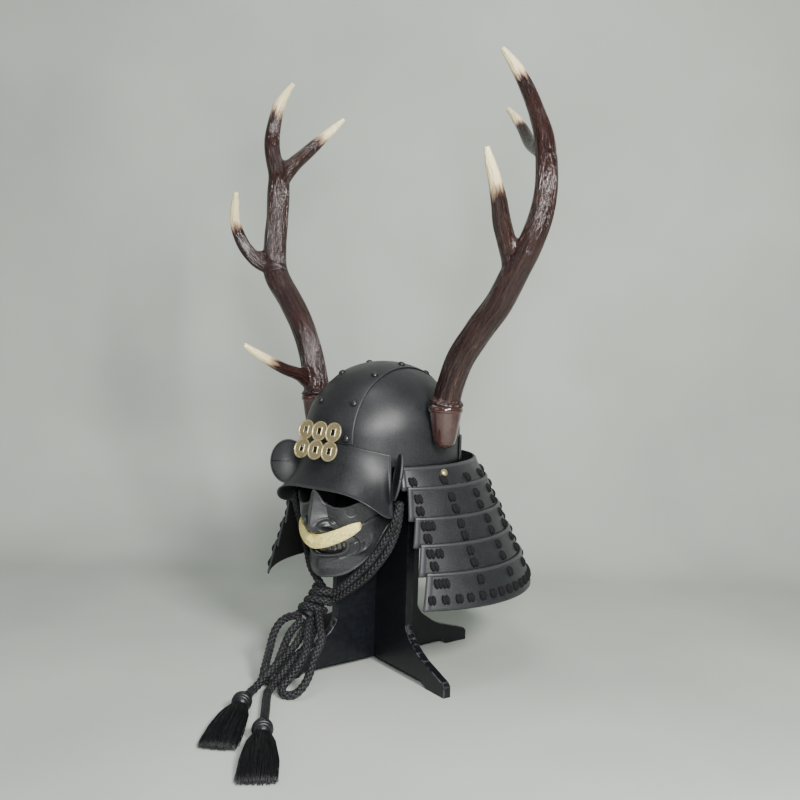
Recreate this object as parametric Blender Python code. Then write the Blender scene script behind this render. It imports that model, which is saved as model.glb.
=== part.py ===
"""A samurai helmet with a face mask, stag antlers and a coin crest, standing on a crossed wooden stand.

Metres, +Z up. The helmet looks along -Y and the wearer's left is +X. Everything is drawn about the
upright axis of the stand and is then set down with the middle of its footprint on the origin.
"""

import math

import bmesh
import bpy
from mathutils import Matrix, Vector

# Bowl: an egg-shaped iron shell, straight at the sides and domed above.
RIM_HEIGHT = 0.305
BOWL_HALF_WIDTH = 0.107
BOWL_HALF_LENGTH = 0.124
BOWL_BACK_SET = 0.005
BOWL_SIDE = 0.038
BOWL_CROWN = 0.1015
BOWL_WALL = 0.0024

# Fits.
SEAT_GAP = 0.0003
SKIN_GAP = 0.0010

# Crown plate over the top of the bowl, with a row of rivets along each edge.
CROWN_PLATE_HALF_WIDTH = 0.0390
PLATE_THICKNESS = 0.0012
RIVETS_A_SIDE = 6
RIVET_RADIUS = 0.0050
RIVET_RISE = 0.0040
RIVET_ROW = 0.0300
RIVET_START = 0.090
RIVET_PITCH = 0.136

# Band round the back of the bowl.
BAND_HEIGHT = 0.034
BAND_START = math.radians(118.0)
BAND_THICKNESS = 0.0024

# Visor.
VISOR_THICKNESS = 0.0022
VISOR_HALF_TURN = math.radians(46.5)
VISOR_TOP = 0.030
VISOR_TOP_FALL = 0.013
VISOR_REACH = 0.0300
VISOR_SWELL = 0.67
VISOR_END_PINCH = 1.10
VISOR_DROP = 0.0310
VISOR_END_DROP = 0.0460
VISOR_CORNER = 0.016

# Ear plates: two dished discs standing at the ends of the visor.
EAR_HALF_WIDTH = 0.0260
EAR_HALF_HEIGHT = 0.0325
EAR_DISH = 0.0060
EAR_THICKNESS = 0.0020
EAR_FACING = math.radians(44.0)
EAR_LEAN = math.radians(8.0)
EAR_TUCK = 0.0073
EAR_OUT = BOWL_HALF_WIDTH - EAR_TUCK
EAR_BACK_SET = 0.0320
EAR_FORE = BOWL_HALF_LENGTH - EAR_BACK_SET
EAR_DROP = 0.0090

# Neck guard: five lames, each lapping outside the one above.
GUARD_HALF_WIDTH = 0.200
GUARD_DROP = 0.186
LAME_THICKNESS = 0.0024
LAME_GAP = 0.0010
LAME_LAP = 0.0060
LAME_BEAD = 0.0012
LAME_BEAD_HEIGHT = 0.0036
LAME_FRONT_TURN = math.radians(50.0)
LAME_RAKE = math.radians(3.6)
SIDE_RIVET_RADIUS = 0.0055
SIDE_RIVET_TURN = math.radians(77.0)

# Antlers and their sockets.
ANTLER_RISE = 0.480
ANTLER_SPREAD = 0.147
ANTLER_FORE = 0.130
BEAM_RADIUS = 0.0185
ANTLER_STAND_OFF = 0.012
ANTLER_OUT = BOWL_HALF_WIDTH + ANTLER_STAND_OFF
ANTLER_BASE_RISE = 0.0840
ANTLER_BASE_FORE = 0.010
BURR_RADIUS = 0.0245
SOCKET_TOP_RADIUS = 0.0245
SOCKET_LENGTH = 0.058

# Crest of six holed coins held by a post.
COIN_RADIUS = 0.0138
COIN_THICKNESS = 0.0022
COIN_PITCH = 0.0245
COIN_ROW_PITCH = 0.0262
COIN_HOLE_WIDTH = 0.0058
COIN_HOLE_HEIGHT = 0.0080
CREST_LEAN = math.radians(17.0)
CREST_FORE = 0.0205
CREST_RISE = 0.0340
POST_RADIUS = 0.0030

# Mask.
MASK_HALF_WIDTH = 0.073
MASK_HEIGHT = 0.141
MASK_DEPTH = 0.090
MASK_FORE = 0.139
MASK_CHIN_DROP = 0.156
MASK_WALL = 0.0024
JAW_RISE = 0.082
NOSE_RISE = 0.0180
MOUTH_HALF_WIDTH = 0.0340
MOUTH_HALF_HEIGHT = 0.0095
MOUTH_RISE = 0.0410
MOUTH_CUT_REACH = 0.0350
MOUSTACHE_RADIUS = 0.0085
MOUSTACHE_RISE = 0.0495
MOUSTACHE_HALF_WIDTH = 0.0550
BRACKET_WIDTH = 0.014
MASK_CLEARANCE = 0.0011
BRACKET_THICKNESS = 0.008

# Cords, knot and tassels.
CORD_DIAMETER = 0.0100
KNOT_RADIUS = 0.0200
TASSEL_HEAD_RADIUS = 0.0120
TASSEL_LENGTH = 0.125
TASSEL_HALF_WIDTH = 0.0240

# Stand: two crossed boards under an oval rest.
REST_SHARE = 0.80
REST_THICKNESS = 0.012
REST_CLEARANCE = 0.0003
BOARD_THICKNESS = 0.012
LEG_REACH = 0.179
COLUMN_HALF_WIDTH = 0.085
FORE_COLUMN_HALF_WIDTH = 0.076
FOOT_HEIGHT = 0.020
SHOULDER_HEIGHT = 0.062
FOOT_LENGTH = 0.042
UNDER_GAP = 0.007
STAND_TURN = math.radians(-18.5)
BOARD_ANGLE = math.radians(94.0)
LONG_TURN = STAND_TURN + BOARD_ANGLE
LAP_CLEARANCE = 0.0008

# Neck guard outline. Columns: drop below the bowl's rim, half width, half length, set back, each as a
# share of GUARD_DROP or of GUARD_HALF_WIDTH.
GUARD_OUTLINE = (
    (-0.005, 0.5765, 0.733, 0.1175),
    (0.134, 0.675, 0.775, 0.140),
    (0.350, 0.760, 0.830, 0.185),
    (0.538, 0.830, 0.885, 0.220),
    (0.737, 0.915, 0.955, 0.255),
    (1.000, 1.000, 1.010, 0.280),
)

# Mask front line. Columns: rise above the chin, distance of the middle line ahead of the stand axis and
# squareness of the plan, the first two as shares of MASK_HEIGHT and MASK_FORE.
MASK_LINE = (
    (0.00, 0.920, 1.50),
    (0.10, 0.943, 1.50),
    (0.22, 0.945, 1.52),
    (0.32, 0.965, 1.60),
    (0.48, 0.978, 1.85),
    (0.74, 0.992, 2.40),
    (1.00, 1.000, 2.50),
)

# Nose. Columns: rise above the chin, height of the ridge and half width, as shares of MASK_HEIGHT,
# NOSE_RISE and MASK_HALF_WIDTH.
NOSE_LINE = (
    (0.42, 0.000, 0.240),
    (0.475, 0.980, 0.240),
    (0.52, 1.000, 0.200),
    (0.64, 0.700, 0.150),
    (0.78, 0.420, 0.120),
    (1.00, 0.380, 0.120),
)

# Antler routes. Columns: rise above the burr, swing out and reach forward, as shares of ANTLER_RISE,
# ANTLER_SPREAD and ANTLER_FORE, then the radius as a share of BEAM_RADIUS.
LEFT_BEAM = (
    (0.000, 0.000, 0.000, 1.00),
    (0.060, 0.054, 0.015, 1.00),
    (0.142, 0.177, 0.038, 1.00),
    (0.221, 0.374, 0.062, 1.00),
    (0.298, 0.585, 0.077, 0.98),
    (0.379, 0.741, 0.092, 0.98),
    (0.450, 0.878, 0.092, 0.90),
    (0.523, 0.966, 0.077, 0.84),
    (0.594, 1.000, 0.062, 0.80),
    (0.667, 0.980, 0.031, 0.78),
    (0.742, 0.925, 0.000, 0.70),
    (0.810, 0.830, -0.031, 0.58),
    (0.873, 0.728, -0.046, 0.53),
    (0.938, 0.592, -0.062, 0.44),
    (0.996, 0.435, -0.077, 0.20),
)
LEFT_FORE_TINE = (
    (0.388, 0.728, 0.092, 0.66),
    (0.435, 0.707, 0.154, 0.68),
    (0.506, 0.687, 0.269, 0.64),
    (0.560, 0.701, 0.369, 0.55),
    (0.619, 0.701, 0.477, 0.45),
    (0.658, 0.694, 0.554, 0.36),
    (0.692, 0.687, 0.608, 0.20),
)
LEFT_BACK_TINE = (
    (0.690, 0.970, 0.020, 0.53),
    (0.738, 0.687, -0.231, 0.47),
    (0.794, 0.497, -0.423, 0.41),
    (0.833, 0.361, -0.538, 0.34),
    (0.871, 0.211, -0.654, 0.20),
)
RIGHT_BEAM = (
    (0.000, 0.000, 0.000, 1.00),
    (0.035, 0.014, 0.015, 1.06),
    (0.113, 0.054, 0.038, 0.97),
    (0.175, 0.116, 0.054, 0.95),
    (0.235, 0.211, 0.069, 0.97),
    (0.304, 0.367, 0.077, 0.99),
    (0.367, 0.524, 0.092, 1.04),
    (0.415, 0.585, 0.092, 1.02),
    (0.494, 0.585, 0.085, 0.93),
    (0.571, 0.571, 0.077, 0.90),
    (0.650, 0.578, 0.062, 0.95),
    (0.704, 0.599, 0.046, 0.86),
    (0.762, 0.701, 0.015, 0.70),
    (0.821, 0.755, -0.015, 0.66),
    (0.883, 0.741, -0.038, 0.56),
    (0.938, 0.687, -0.054, 0.48),
    (0.975, 0.599, -0.069, 0.35),
    (1.000, 0.510, -0.077, 0.20),
)
RIGHT_BACK_TINE = (
    (0.680, 0.580, 0.040, 0.66),
    (0.742, 0.524, -0.115, 0.64),
    (0.781, 0.483, -0.269, 0.57),
    (0.821, 0.415, -0.400, 0.51),
    (0.865, 0.333, -0.538, 0.39),
    (0.908, 0.231, -0.654, 0.20),
)
RIGHT_FORE_TINE = (
    (0.395, 0.560, 0.092, 0.65),
    (0.408, 0.619, 0.154, 0.67),
    (0.427, 0.714, 0.246, 0.63),
    (0.465, 0.796, 0.346, 0.56),
    (0.510, 0.837, 0.423, 0.50),
    (0.554, 0.830, 0.492, 0.42),
    (0.598, 0.769, 0.554, 0.34),
    (0.631, 0.707, 0.608, 0.20),
)
RIGHT_BROW_TINE = (
    (0.027, 0.030, 0.020, 0.57),
    (0.044, 0.054, 0.115, 0.57),
    (0.067, 0.048, 0.269, 0.53),
    (0.083, 0.075, 0.462, 0.47),
    (0.106, 0.116, 0.654, 0.42),
    (0.131, 0.150, 0.846, 0.34),
    (0.156, 0.190, 1.000, 0.20),
)

# Cord routes in metres from the stand's foot.
LEFT_CORD = (
    (0.0990, -0.0850, 0.2600),
    (0.0985, -0.0840, 0.2520),
    (0.0900, -0.0850, 0.2260),
    (0.0753, -0.0880, 0.1990),
    (0.0592, -0.0940, 0.1740),
    (0.0404, -0.0990, 0.1530),
    (0.0130, -0.1000, 0.1300),
    (-0.0050, -0.1000, 0.1180),
)
LEFT_BACK_CORD = (
    (0.0930, -0.0735, 0.2560),
    (0.0925, -0.0730, 0.2480),
    (0.0890, -0.0740, 0.2210),
    (0.0800, -0.0790, 0.1930),
    (0.0650, -0.0850, 0.1680),
    (0.0460, -0.0900, 0.1460),
    (0.0130, -0.0910, 0.1210),
    (-0.0060, -0.0930, 0.1080),
)
RIGHT_CORD = (
    (-0.0960, -0.0820, 0.2600),
    (-0.0940, -0.0810, 0.2400),
    (-0.0860, -0.0770, 0.2100),
    (-0.0680, -0.0820, 0.1750),
    (-0.0580, -0.0890, 0.1630),
    (-0.0430, -0.0990, 0.1500),
    (-0.0270, -0.1030, 0.1370),
    (-0.0190, -0.1010, 0.1260),
)
KNOT_ROUTE = (
    (-0.014, -0.0960, 0.1320, 0.30),
    (-0.014, -0.0975, 0.1270, 0.80),
    (-0.016, -0.1010, 0.1180, 1.00),
    (-0.021, -0.1080, 0.1040, 1.05),
    (-0.027, -0.1150, 0.0920, 0.95),
    (-0.031, -0.1210, 0.0830, 0.70),
    (-0.032, -0.1230, 0.0800, 0.25),
)
RIGHT_LOOP = (
    (-0.0330, -0.1130, 0.0985),
    (-0.0480, -0.1220, 0.0840),
    (-0.0610, -0.1260, 0.0790),
    (-0.0700, -0.1330, 0.0700),
    (-0.0710, -0.1440, 0.0560),
    (-0.0650, -0.1570, 0.0400),
    (-0.0480, -0.1820, 0.0265),
    (-0.0460, -0.1880, 0.0150),
    (-0.0380, -0.1890, 0.0085),
    (-0.0310, -0.1850, 0.0150),
    (-0.0335, -0.1780, 0.0240),
    (-0.0380, -0.1640, 0.0362),
    (-0.0430, -0.1510, 0.0470),
    (-0.0440, -0.1390, 0.0620),
    (-0.0400, -0.1310, 0.0720),
    (-0.0340, -0.1230, 0.0815),
)
LEFT_LOOP = (
    (-0.0180, -0.1130, 0.1030),
    (-0.0005, -0.1270, 0.0885),
    (0.0110, -0.1370, 0.0800),
    (0.0220, -0.1460, 0.0690),
    (0.0240, -0.1620, 0.0500),
    (0.0280, -0.1800, 0.0250),
    (0.0240, -0.1950, 0.0100),
    (0.0110, -0.2030, 0.0060),
    (0.0010, -0.2000, 0.0120),
    (0.0060, -0.1880, 0.0260),
    (0.0120, -0.1730, 0.0460),
    (0.0080, -0.1600, 0.0600),
    (-0.0060, -0.1440, 0.0740),
    (-0.0150, -0.1265, 0.0865),
)
RIGHT_TAIL = (
    (-0.0240, -0.1195, 0.0825),
    (-0.0200, -0.1400, 0.0680),
    (-0.0190, -0.1530, 0.0560),
    (-0.0260, -0.1720, 0.0380),
    (-0.0290, -0.1990, 0.0225),
    (-0.0340, -0.2120, 0.0090),
    (-0.0300, -0.2280, 0.0055),
    (-0.0140, -0.2500, 0.0065),
    (-0.0060, -0.2630, 0.0075),
)
LEFT_TAIL = (
    (-0.0150, -0.1130, 0.0880),
    (-0.0090, -0.1320, 0.0640),
    (-0.0085, -0.1470, 0.0500),
    (-0.0130, -0.1590, 0.0420),
    (-0.0150, -0.1720, 0.0310),
    (-0.0180, -0.1880, 0.0160),
    (-0.0160, -0.2060, 0.0070),
    (-0.0020, -0.2250, 0.0055),
    (0.0240, -0.2530, 0.0055),
    (0.0540, -0.2860, 0.0065),
    (0.0720, -0.3060, 0.0075),
)

# Tassel shape. Columns: distance along, half width and half height, as shares of TASSEL_LENGTH,
# TASSEL_HALF_WIDTH and TASSEL_HALF_WIDTH.
TASSEL_LINE = (
    (0.000, 0.16, 0.16),
    (0.010, 0.40, 0.40),
    (0.055, 0.50, 0.50),
    (0.100, 0.40, 0.40),
    (0.118, 0.32, 0.32),
    (0.170, 0.46, 0.40),
    (0.400, 0.80, 0.44),
    (0.700, 0.96, 0.36),
    (0.960, 1.00, 0.20),
    (1.000, 0.80, 0.10),
)

BOWL_SEGMENTS = 28
LAME_STEPS = 22
ANTLER_SIDES = 10


for stale in list(bpy.data.objects):
    bpy.data.objects.remove(stale, do_unlink=True)

PARTS = bpy.data.collections.new("kabuto")
CUTTERS = bpy.data.collections.new("cutters")
bpy.context.scene.collection.children.link(PARTS)
bpy.context.scene.collection.children.link(CUTTERS)


def material(name, colour, roughness, metallic=0.0):
    slot = bpy.data.materials.new(name)
    slot.use_nodes = True
    shader = slot.node_tree.nodes["Principled BSDF"]
    shader.inputs["Base Color"].default_value = (*colour, 1.0)
    shader.inputs["Roughness"].default_value = roughness
    shader.inputs["Metallic"].default_value = metallic
    return slot


BLACK_LACQUER = material("black_lacquer", (0.020, 0.021, 0.023), 0.48)
HORN = material("antler_brown", (0.060, 0.022, 0.016), 0.28)
SOCKET_BROWN = material("socket_brown", (0.075, 0.030, 0.024), 0.22)
AGED_BRASS = material("aged_brass", (0.500, 0.380, 0.180), 0.42, 1.0)
CREAM_HAIR = material("cream_hair", (0.800, 0.740, 0.520), 0.90)
TOOTH = material("silvered_teeth", (0.330, 0.330, 0.310), 0.40, 0.6)
BLACK_CORD = material("black_cord", (0.030, 0.030, 0.033), 0.85)
BLACK_WOOD = material("black_painted_wood", (0.018, 0.018, 0.020), 0.45)


def mesh_object(name, bm, slot, smooth=True, cutter=False):
    """Closed mesh with outward faces, as one object."""
    bmesh.ops.remove_doubles(bm, verts=bm.verts, dist=0.000005)
    bmesh.ops.recalc_face_normals(bm, faces=bm.faces)
    mesh = bpy.data.meshes.new(name)
    bm.to_mesh(mesh)
    bm.free()
    obj = bpy.data.objects.new(name, mesh)
    (CUTTERS if cutter else PARTS).objects.link(obj)
    if cutter:
        obj.hide_render = True
        obj.display_type = "WIRE"
    else:
        mesh.materials.append(slot)
        if smooth:
            mesh.polygons.foreach_set("use_smooth", [True] * len(mesh.polygons))
            mesh.set_sharp_from_angle(angle=math.radians(38.0))
    return obj


def shell(name, outer, inner, slot):
    """Closed plate between two grids of points of the same size."""
    bm = bmesh.new()
    rows = len(outer)
    cols = len(outer[0])
    top = [[bm.verts.new(p) for p in row] for row in outer]
    low = [[bm.verts.new(p) for p in row] for row in inner]
    for i in range(rows - 1):
        for j in range(cols - 1):
            bm.faces.new((top[i][j], top[i + 1][j], top[i + 1][j + 1], top[i][j + 1]))
            bm.faces.new((low[i][j], low[i][j + 1], low[i + 1][j + 1], low[i + 1][j]))
    for i in range(rows - 1):
        bm.faces.new((top[i][0], low[i][0], low[i + 1][0], top[i + 1][0]))
        bm.faces.new((top[i][-1], top[i + 1][-1], low[i + 1][-1], low[i][-1]))
    for j in range(cols - 1):
        bm.faces.new((top[0][j], top[0][j + 1], low[0][j + 1], low[0][j]))
        bm.faces.new((top[-1][j], low[-1][j], low[-1][j + 1], top[-1][j + 1]))
    return mesh_object(name, bm, slot)


def loft(name, rings, slot, smooth=True, cutter=False):
    """Closed solid through a list of rings with the same number of points."""
    bm = bmesh.new()
    loops = [[bm.verts.new(p) for p in ring] for ring in rings]
    count = len(rings[0])
    for a, b in zip(loops, loops[1:]):
        for k in range(count):
            n = (k + 1) % count
            bm.faces.new((a[k], a[n], b[n], b[k]))
    bm.faces.new(loops[0][::-1])
    bm.faces.new(loops[-1])
    return mesh_object(name, bm, slot, smooth, cutter)


def between(table, key):
    """Row values of a table at a key, on straight lines between its rows."""
    if key <= table[0][0]:
        return table[0][1:]
    for low, high in zip(table, table[1:]):
        if key <= high[0]:
            share = (key - low[0]) / (high[0] - low[0])
            return tuple(a + (b - a) * share for a, b in zip(low[1:], high[1:]))
    return table[-1][1:]


def cut(body, cutter, mode="DIFFERENCE"):
    """Boolean of a body with another object, which is then removed."""
    step = body.modifiers.new("cut", "BOOLEAN")
    step.operation = mode
    step.solver = "EXACT"
    step.object = cutter
    graph = bpy.context.evaluated_depsgraph_get()
    mesh = bpy.data.meshes.new_from_object(body.evaluated_get(graph))
    body.modifiers.remove(step)
    body.data = mesh
    bpy.data.objects.remove(cutter, do_unlink=True)


def frames(points):
    """Point, side and up axes along a route, turning as little as possible."""
    path = [Vector(p) for p in points]
    heads = []
    for i in range(len(path)):
        ahead = path[min(i + 1, len(path) - 1)] - path[max(i - 1, 0)]
        heads.append(ahead.normalized())
    side = heads[0].orthogonal().normalized()
    result = []
    for spot, head in zip(path, heads):
        side = (side - head * side.dot(head)).normalized()
        result.append((spot, side, head.cross(side)))
    return result


def tube_rings(points, radii, sides):
    rings = []
    for (spot, side, up), radius in zip(frames(points), radii):
        ring = []
        for k in range(sides):
            turn = 2.0 * math.pi * k / sides
            ring.append(spot + side * (radius * math.cos(turn)) + up * (radius * math.sin(turn)))
        rings.append(ring)
    return rings


# Bowl.
CROWN_HEIGHT = RIM_HEIGHT + BOWL_SIDE


def bowl_plan(turn, out):
    x = (BOWL_HALF_WIDTH + out) * math.sin(turn)
    y = BOWL_BACK_SET - (BOWL_HALF_LENGTH + out) * math.cos(turn)
    return x, y


def bowl_profile(out, steps, bottom):
    """Half outline of the bowl from its rim to its top, as radius share and height."""
    points = [(1.0, bottom), (1.0, CROWN_HEIGHT)]
    for k in range(1, steps):
        rise = math.pi / 2.0 * k / steps
        points.append((math.cos(rise), CROWN_HEIGHT + (BOWL_CROWN + out) * math.sin(rise)))
    points.append((0.0, CROWN_HEIGHT + BOWL_CROWN + out))
    return points


def bowl_solid(name, out, wall, bottom, slot, cutter=False):
    """Egg-plan dome turned about its axis; a wall makes it a shell."""
    bm = bmesh.new()

    def skin(level):
        rings = []
        for share, z in bowl_profile(level, 8, bottom)[:-1]:
            ring = []
            for k in range(BOWL_SEGMENTS):
                x, y = bowl_plan(2.0 * math.pi * k / BOWL_SEGMENTS, level)
                ring.append(bm.verts.new((x * share, BOWL_BACK_SET + (y - BOWL_BACK_SET) * share, z)))
            rings.append(ring)
        apex = bm.verts.new((0.0, BOWL_BACK_SET, CROWN_HEIGHT + BOWL_CROWN + level))
        for a, b in zip(rings, rings[1:]):
            for k in range(BOWL_SEGMENTS):
                n = (k + 1) % BOWL_SEGMENTS
                bm.faces.new((a[k], a[n], b[n], b[k]))
        for k in range(BOWL_SEGMENTS):
            bm.faces.new((rings[-1][k], rings[-1][(k + 1) % BOWL_SEGMENTS], apex))
        return rings[0]

    outer = skin(out)
    if wall:
        inner = skin(out - wall)
        for k in range(BOWL_SEGMENTS):
            n = (k + 1) % BOWL_SEGMENTS
            bm.faces.new((outer[k], outer[n], inner[n], inner[k]))
    else:
        bm.faces.new(outer)
    return mesh_object(name, bm, slot, cutter=cutter)


bowl_solid("bowl", 0.0, BOWL_WALL, RIM_HEIGHT, BLACK_LACQUER)


def bowl_cutter(out):
    return bowl_solid("bowl_cutter", out, 0.0, RIM_HEIGHT - 0.08, None, cutter=True)


# Crown plate, bent over the bowl from the visor to the back band.
def crown_point(side, along, out):
    """Point over the bowl: along runs 0 at the front, 1 at the back; side is a distance."""
    rim = 0.10
    width = math.sqrt(1.0 - (side / (BOWL_HALF_WIDTH + out)) ** 2)
    if along < rim:
        z = FRONT_START + (CROWN_HEIGHT - FRONT_START) * along / rim
        turn = 0.0
    elif along > 1.0 - rim:
        z = BACK_START + (CROWN_HEIGHT - BACK_START) * (1.0 - along) / rim
        turn = math.pi
    else:
        turn = math.pi * (along - rim) / (1.0 - 2.0 * rim)
        z = CROWN_HEIGHT + (BOWL_CROWN + out) * width * math.sin(turn)
    y = BOWL_BACK_SET - (BOWL_HALF_LENGTH + out) * width * math.cos(turn)
    return Vector((side, y, z))


FRONT_START = RIM_HEIGHT + VISOR_TOP + SEAT_GAP
BACK_START = RIM_HEIGHT + BAND_HEIGHT + SEAT_GAP
PLATE_OUT = SKIN_GAP + PLATE_THICKNESS

plate_rows = [0.0, 0.10] + [0.10 + 0.80 * k / 20.0 for k in range(1, 20)] + [0.90, 1.0]
plate_sides = [CROWN_PLATE_HALF_WIDTH * (k / 2.0 - 1.0) for k in range(5)]
shell(
    "crown_plate",
    [[crown_point(s, a, PLATE_OUT) for s in plate_sides] for a in plate_rows],
    [[crown_point(s, a, SKIN_GAP) for s in plate_sides] for a in plate_rows],
    BLACK_LACQUER,
)


# Rivets along the two edges of the crown plate.
def rivet(name, spot, normal, radius, rise, slot):
    turn = Vector((0.0, 0.0, 1.0)).rotation_difference(normal).to_matrix()
    rings = []
    for share, up in ((1.0, 0.0), (0.94, 0.45), (0.55, 1.0)):
        ring = []
        for k in range(8):
            a = 2.0 * math.pi * k / 8.0
            local = Vector((radius * share * math.cos(a), radius * share * math.sin(a), rise * up))
            ring.append(spot + turn @ local)
        rings.append(ring)
    loft(name, rings, slot)


for number in range(RIVETS_A_SIDE):
    for label, sign in (("left", 1.0), ("right", -1.0)):
        place = RIVET_START + RIVET_PITCH * number
        foot = crown_point(sign * RIVET_ROW, place, PLATE_OUT)
        ahead = crown_point(sign * RIVET_ROW, place + 0.01, PLATE_OUT) - foot
        across = crown_point(sign * RIVET_ROW + 0.001, place, PLATE_OUT) - foot
        normal = across.cross(ahead).normalized()
        if normal.z < -0.2:
            normal = -normal
        rivet(
            "rivet_%s_%d" % (label, number + 1),
            foot,
            normal,
            RIVET_RADIUS,
            RIVET_RISE,
            BLACK_LACQUER,
        )

# Back band.
band_turns = [BAND_START + (2.0 * math.pi - 2.0 * BAND_START) * k / 20.0 for k in range(21)]


def band_point(turn, z, out):
    x, y = bowl_plan(turn, out)
    return Vector((x, y, z))


band_levels = (RIM_HEIGHT, RIM_HEIGHT + BAND_HEIGHT)
shell(
    "back_band",
    [[band_point(t, z, SKIN_GAP + BAND_THICKNESS) for z in band_levels] for t in band_turns],
    [[band_point(t, z, SKIN_GAP) for z in band_levels] for t in band_turns],
    BLACK_LACQUER,
)


# Visor.
def visor_point(share, down, out):
    """Share runs -1 to 1 round the front, down 0 at the top edge to 1 at the lip."""
    turn = share * VISOR_HALF_TURN
    top = RIM_HEIGHT + VISOR_TOP - VISOR_TOP_FALL * share * share
    low = RIM_HEIGHT - VISOR_DROP - VISOR_END_DROP * abs(share) ** 3.6
    edge = max(0.0, abs(share) - 1.0 + VISOR_CORNER / 0.10) / (VISOR_CORNER / 0.10)
    low += VISOR_CORNER * (1.0 - math.sqrt(max(0.0, 1.0 - edge * edge)))
    flare = 1.0 + VISOR_SWELL * share ** 2 - VISOR_END_PINCH * share ** 8
    reach = VISOR_REACH * flare * down ** 2.1
    x, y = bowl_plan(turn, out + reach)
    return Vector((x, y, top + (low - top) * down))


visor_shares = [-1.0, -0.975, -0.93, -0.86]
visor_shares += [-0.86 + 1.72 * k / 16.0 for k in range(1, 16)]
visor_shares += [0.86, 0.93, 0.975, 1.0]
visor_downs = (0.0, 0.30, 0.53, 0.72, 0.87, 1.0)
shell(
    "visor",
    [[visor_point(s, d, SKIN_GAP + VISOR_THICKNESS) for d in visor_downs] for s in visor_shares],
    [[visor_point(s, d, SKIN_GAP) for d in visor_downs] for s in visor_shares],
    BLACK_LACQUER,
)


# Ear plates, dished towards the front and trimmed to the bowl.
def ear_plate(name, sign):
    facing = Vector((-sign * math.sin(EAR_FACING), -math.cos(EAR_FACING), 0.0))
    across = Vector((sign * math.cos(EAR_FACING), -math.sin(EAR_FACING), 0.0))
    centre = Vector((sign * EAR_OUT, -EAR_FORE, RIM_HEIGHT - EAR_DROP))
    up = Vector((0.0, 0.0, 1.0))
    upright = up * math.cos(EAR_LEAN) - facing * math.sin(EAR_LEAN)
    face = facing * math.cos(EAR_LEAN) + up * math.sin(EAR_LEAN)
    rings = []
    levels = [(0.05, 0.0), (0.60, 0.0), (1.0, 0.0)]
    back = [(share, 1.0) for share, _ in reversed(levels)]
    for share, side in levels + back:
        depth = EAR_DISH * (share * share - 1.0) - EAR_THICKNESS * side
        ring = []
        for k in range(20):
            a = 2.0 * math.pi * k / 20.0
            spot = centre + across * (EAR_HALF_WIDTH * share * math.cos(a))
            spot = spot + upright * (EAR_HALF_HEIGHT * share * math.sin(a))
            ring.append(spot + face * depth)
        rings.append(ring)
    plate = loft(name, rings, BLACK_LACQUER)
    cut(plate, bowl_cutter(SEAT_GAP))


ear_plate("left_ear_plate", 1.0)
ear_plate("right_ear_plate", -1.0)


# Neck guard.
def guard_point(turn, drop, out):
    """Point of the neck guard's outline at a drop below the rim."""
    wide, long, back = between(GUARD_OUTLINE, drop / GUARD_DROP)
    x = (GUARD_HALF_WIDTH * wide + out) * math.sin(turn)
    y = GUARD_HALF_WIDTH * back - (GUARD_HALF_WIDTH * long + out) * math.cos(turn)
    return Vector((x, y, RIM_HEIGHT - drop))


LAME_TOPS = [row[0] * GUARD_DROP for row in GUARD_OUTLINE]
LAME_COUNT = len(LAME_TOPS) - 1


def lame_turn(step, fall):
    """Angle round the guard: the front edges come forward as the lame falls."""
    front = LAME_FRONT_TURN - LAME_RAKE * fall
    return front + (2.0 * math.pi - 2.0 * front) * step / LAME_STEPS



def lame_rows(number):
    """Drop, inward shift and extra thickness of each row of a lame, from the top edge down."""
    top = LAME_TOPS[number]
    low = LAME_TOPS[number + 1]
    tuck = 0.0
    last = low
    if number < LAME_COUNT - 1:
        tuck = LAME_THICKNESS + LAME_GAP
        last = low + LAME_LAP
    rows = [(top, 0.0, LAME_BEAD), (top + LAME_BEAD_HEIGHT, 0.0, LAME_BEAD)]
    rows.append((top + LAME_BEAD_HEIGHT + 0.0008, 0.0, 0.0))
    rows.append((low, tuck, 0.0))
    if number < LAME_COUNT - 1:
        slope = guard_point(math.pi / 2.0, last, 0.0).x - guard_point(math.pi / 2.0, low, 0.0).x
        rows.append((last, tuck + 0.5 * slope, 0.0))
    return rows


for number in range(LAME_COUNT):
    rows = lame_rows(number)
    outer = []
    inner = []
    for step in range(LAME_STEPS + 1):
        falls = [(d - rows[0][0]) / (rows[-1][0] - rows[0][0]) for d, _, _ in rows]
        turns = [lame_turn(step, fall) for fall in falls]
        outer.append([guard_point(t, d, bead - tuck) for t, (d, tuck, bead) in zip(turns, rows)])
        inner.append([guard_point(t, d, -tuck - LAME_THICKNESS) for t, (d, tuck, _) in zip(turns, rows)])
    shell("lame_%d" % (number + 1), outer, inner, BLACK_LACQUER)

stud_share = 0.40
stud_drop = LAME_TOPS[0] + stud_share * (LAME_TOPS[1] - LAME_TOPS[0])
for label, sign in (("left", 1.0), ("right", -1.0)):
    turn = sign * SIDE_RIVET_TURN
    foot = guard_point(turn, stud_drop, -stud_share * (LAME_THICKNESS + LAME_GAP))
    ahead = guard_point(turn, stud_drop + 0.002, 0.0) - guard_point(turn, stud_drop, 0.0)
    round_way = guard_point(turn + 0.01, stud_drop, 0.0) - guard_point(turn, stud_drop, 0.0)
    normal = ahead.cross(round_way).normalized()
    if normal.x * sign < 0.0:
        normal = -normal
    seat = foot + normal * 2.0 * SEAT_GAP
    rivet(label + "_side_rivet", seat, normal, SIDE_RIVET_RADIUS, RIVET_RISE, AGED_BRASS)

# Antlers.
ANTLER_BASE_HEIGHT = RIM_HEIGHT + ANTLER_BASE_RISE


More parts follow.
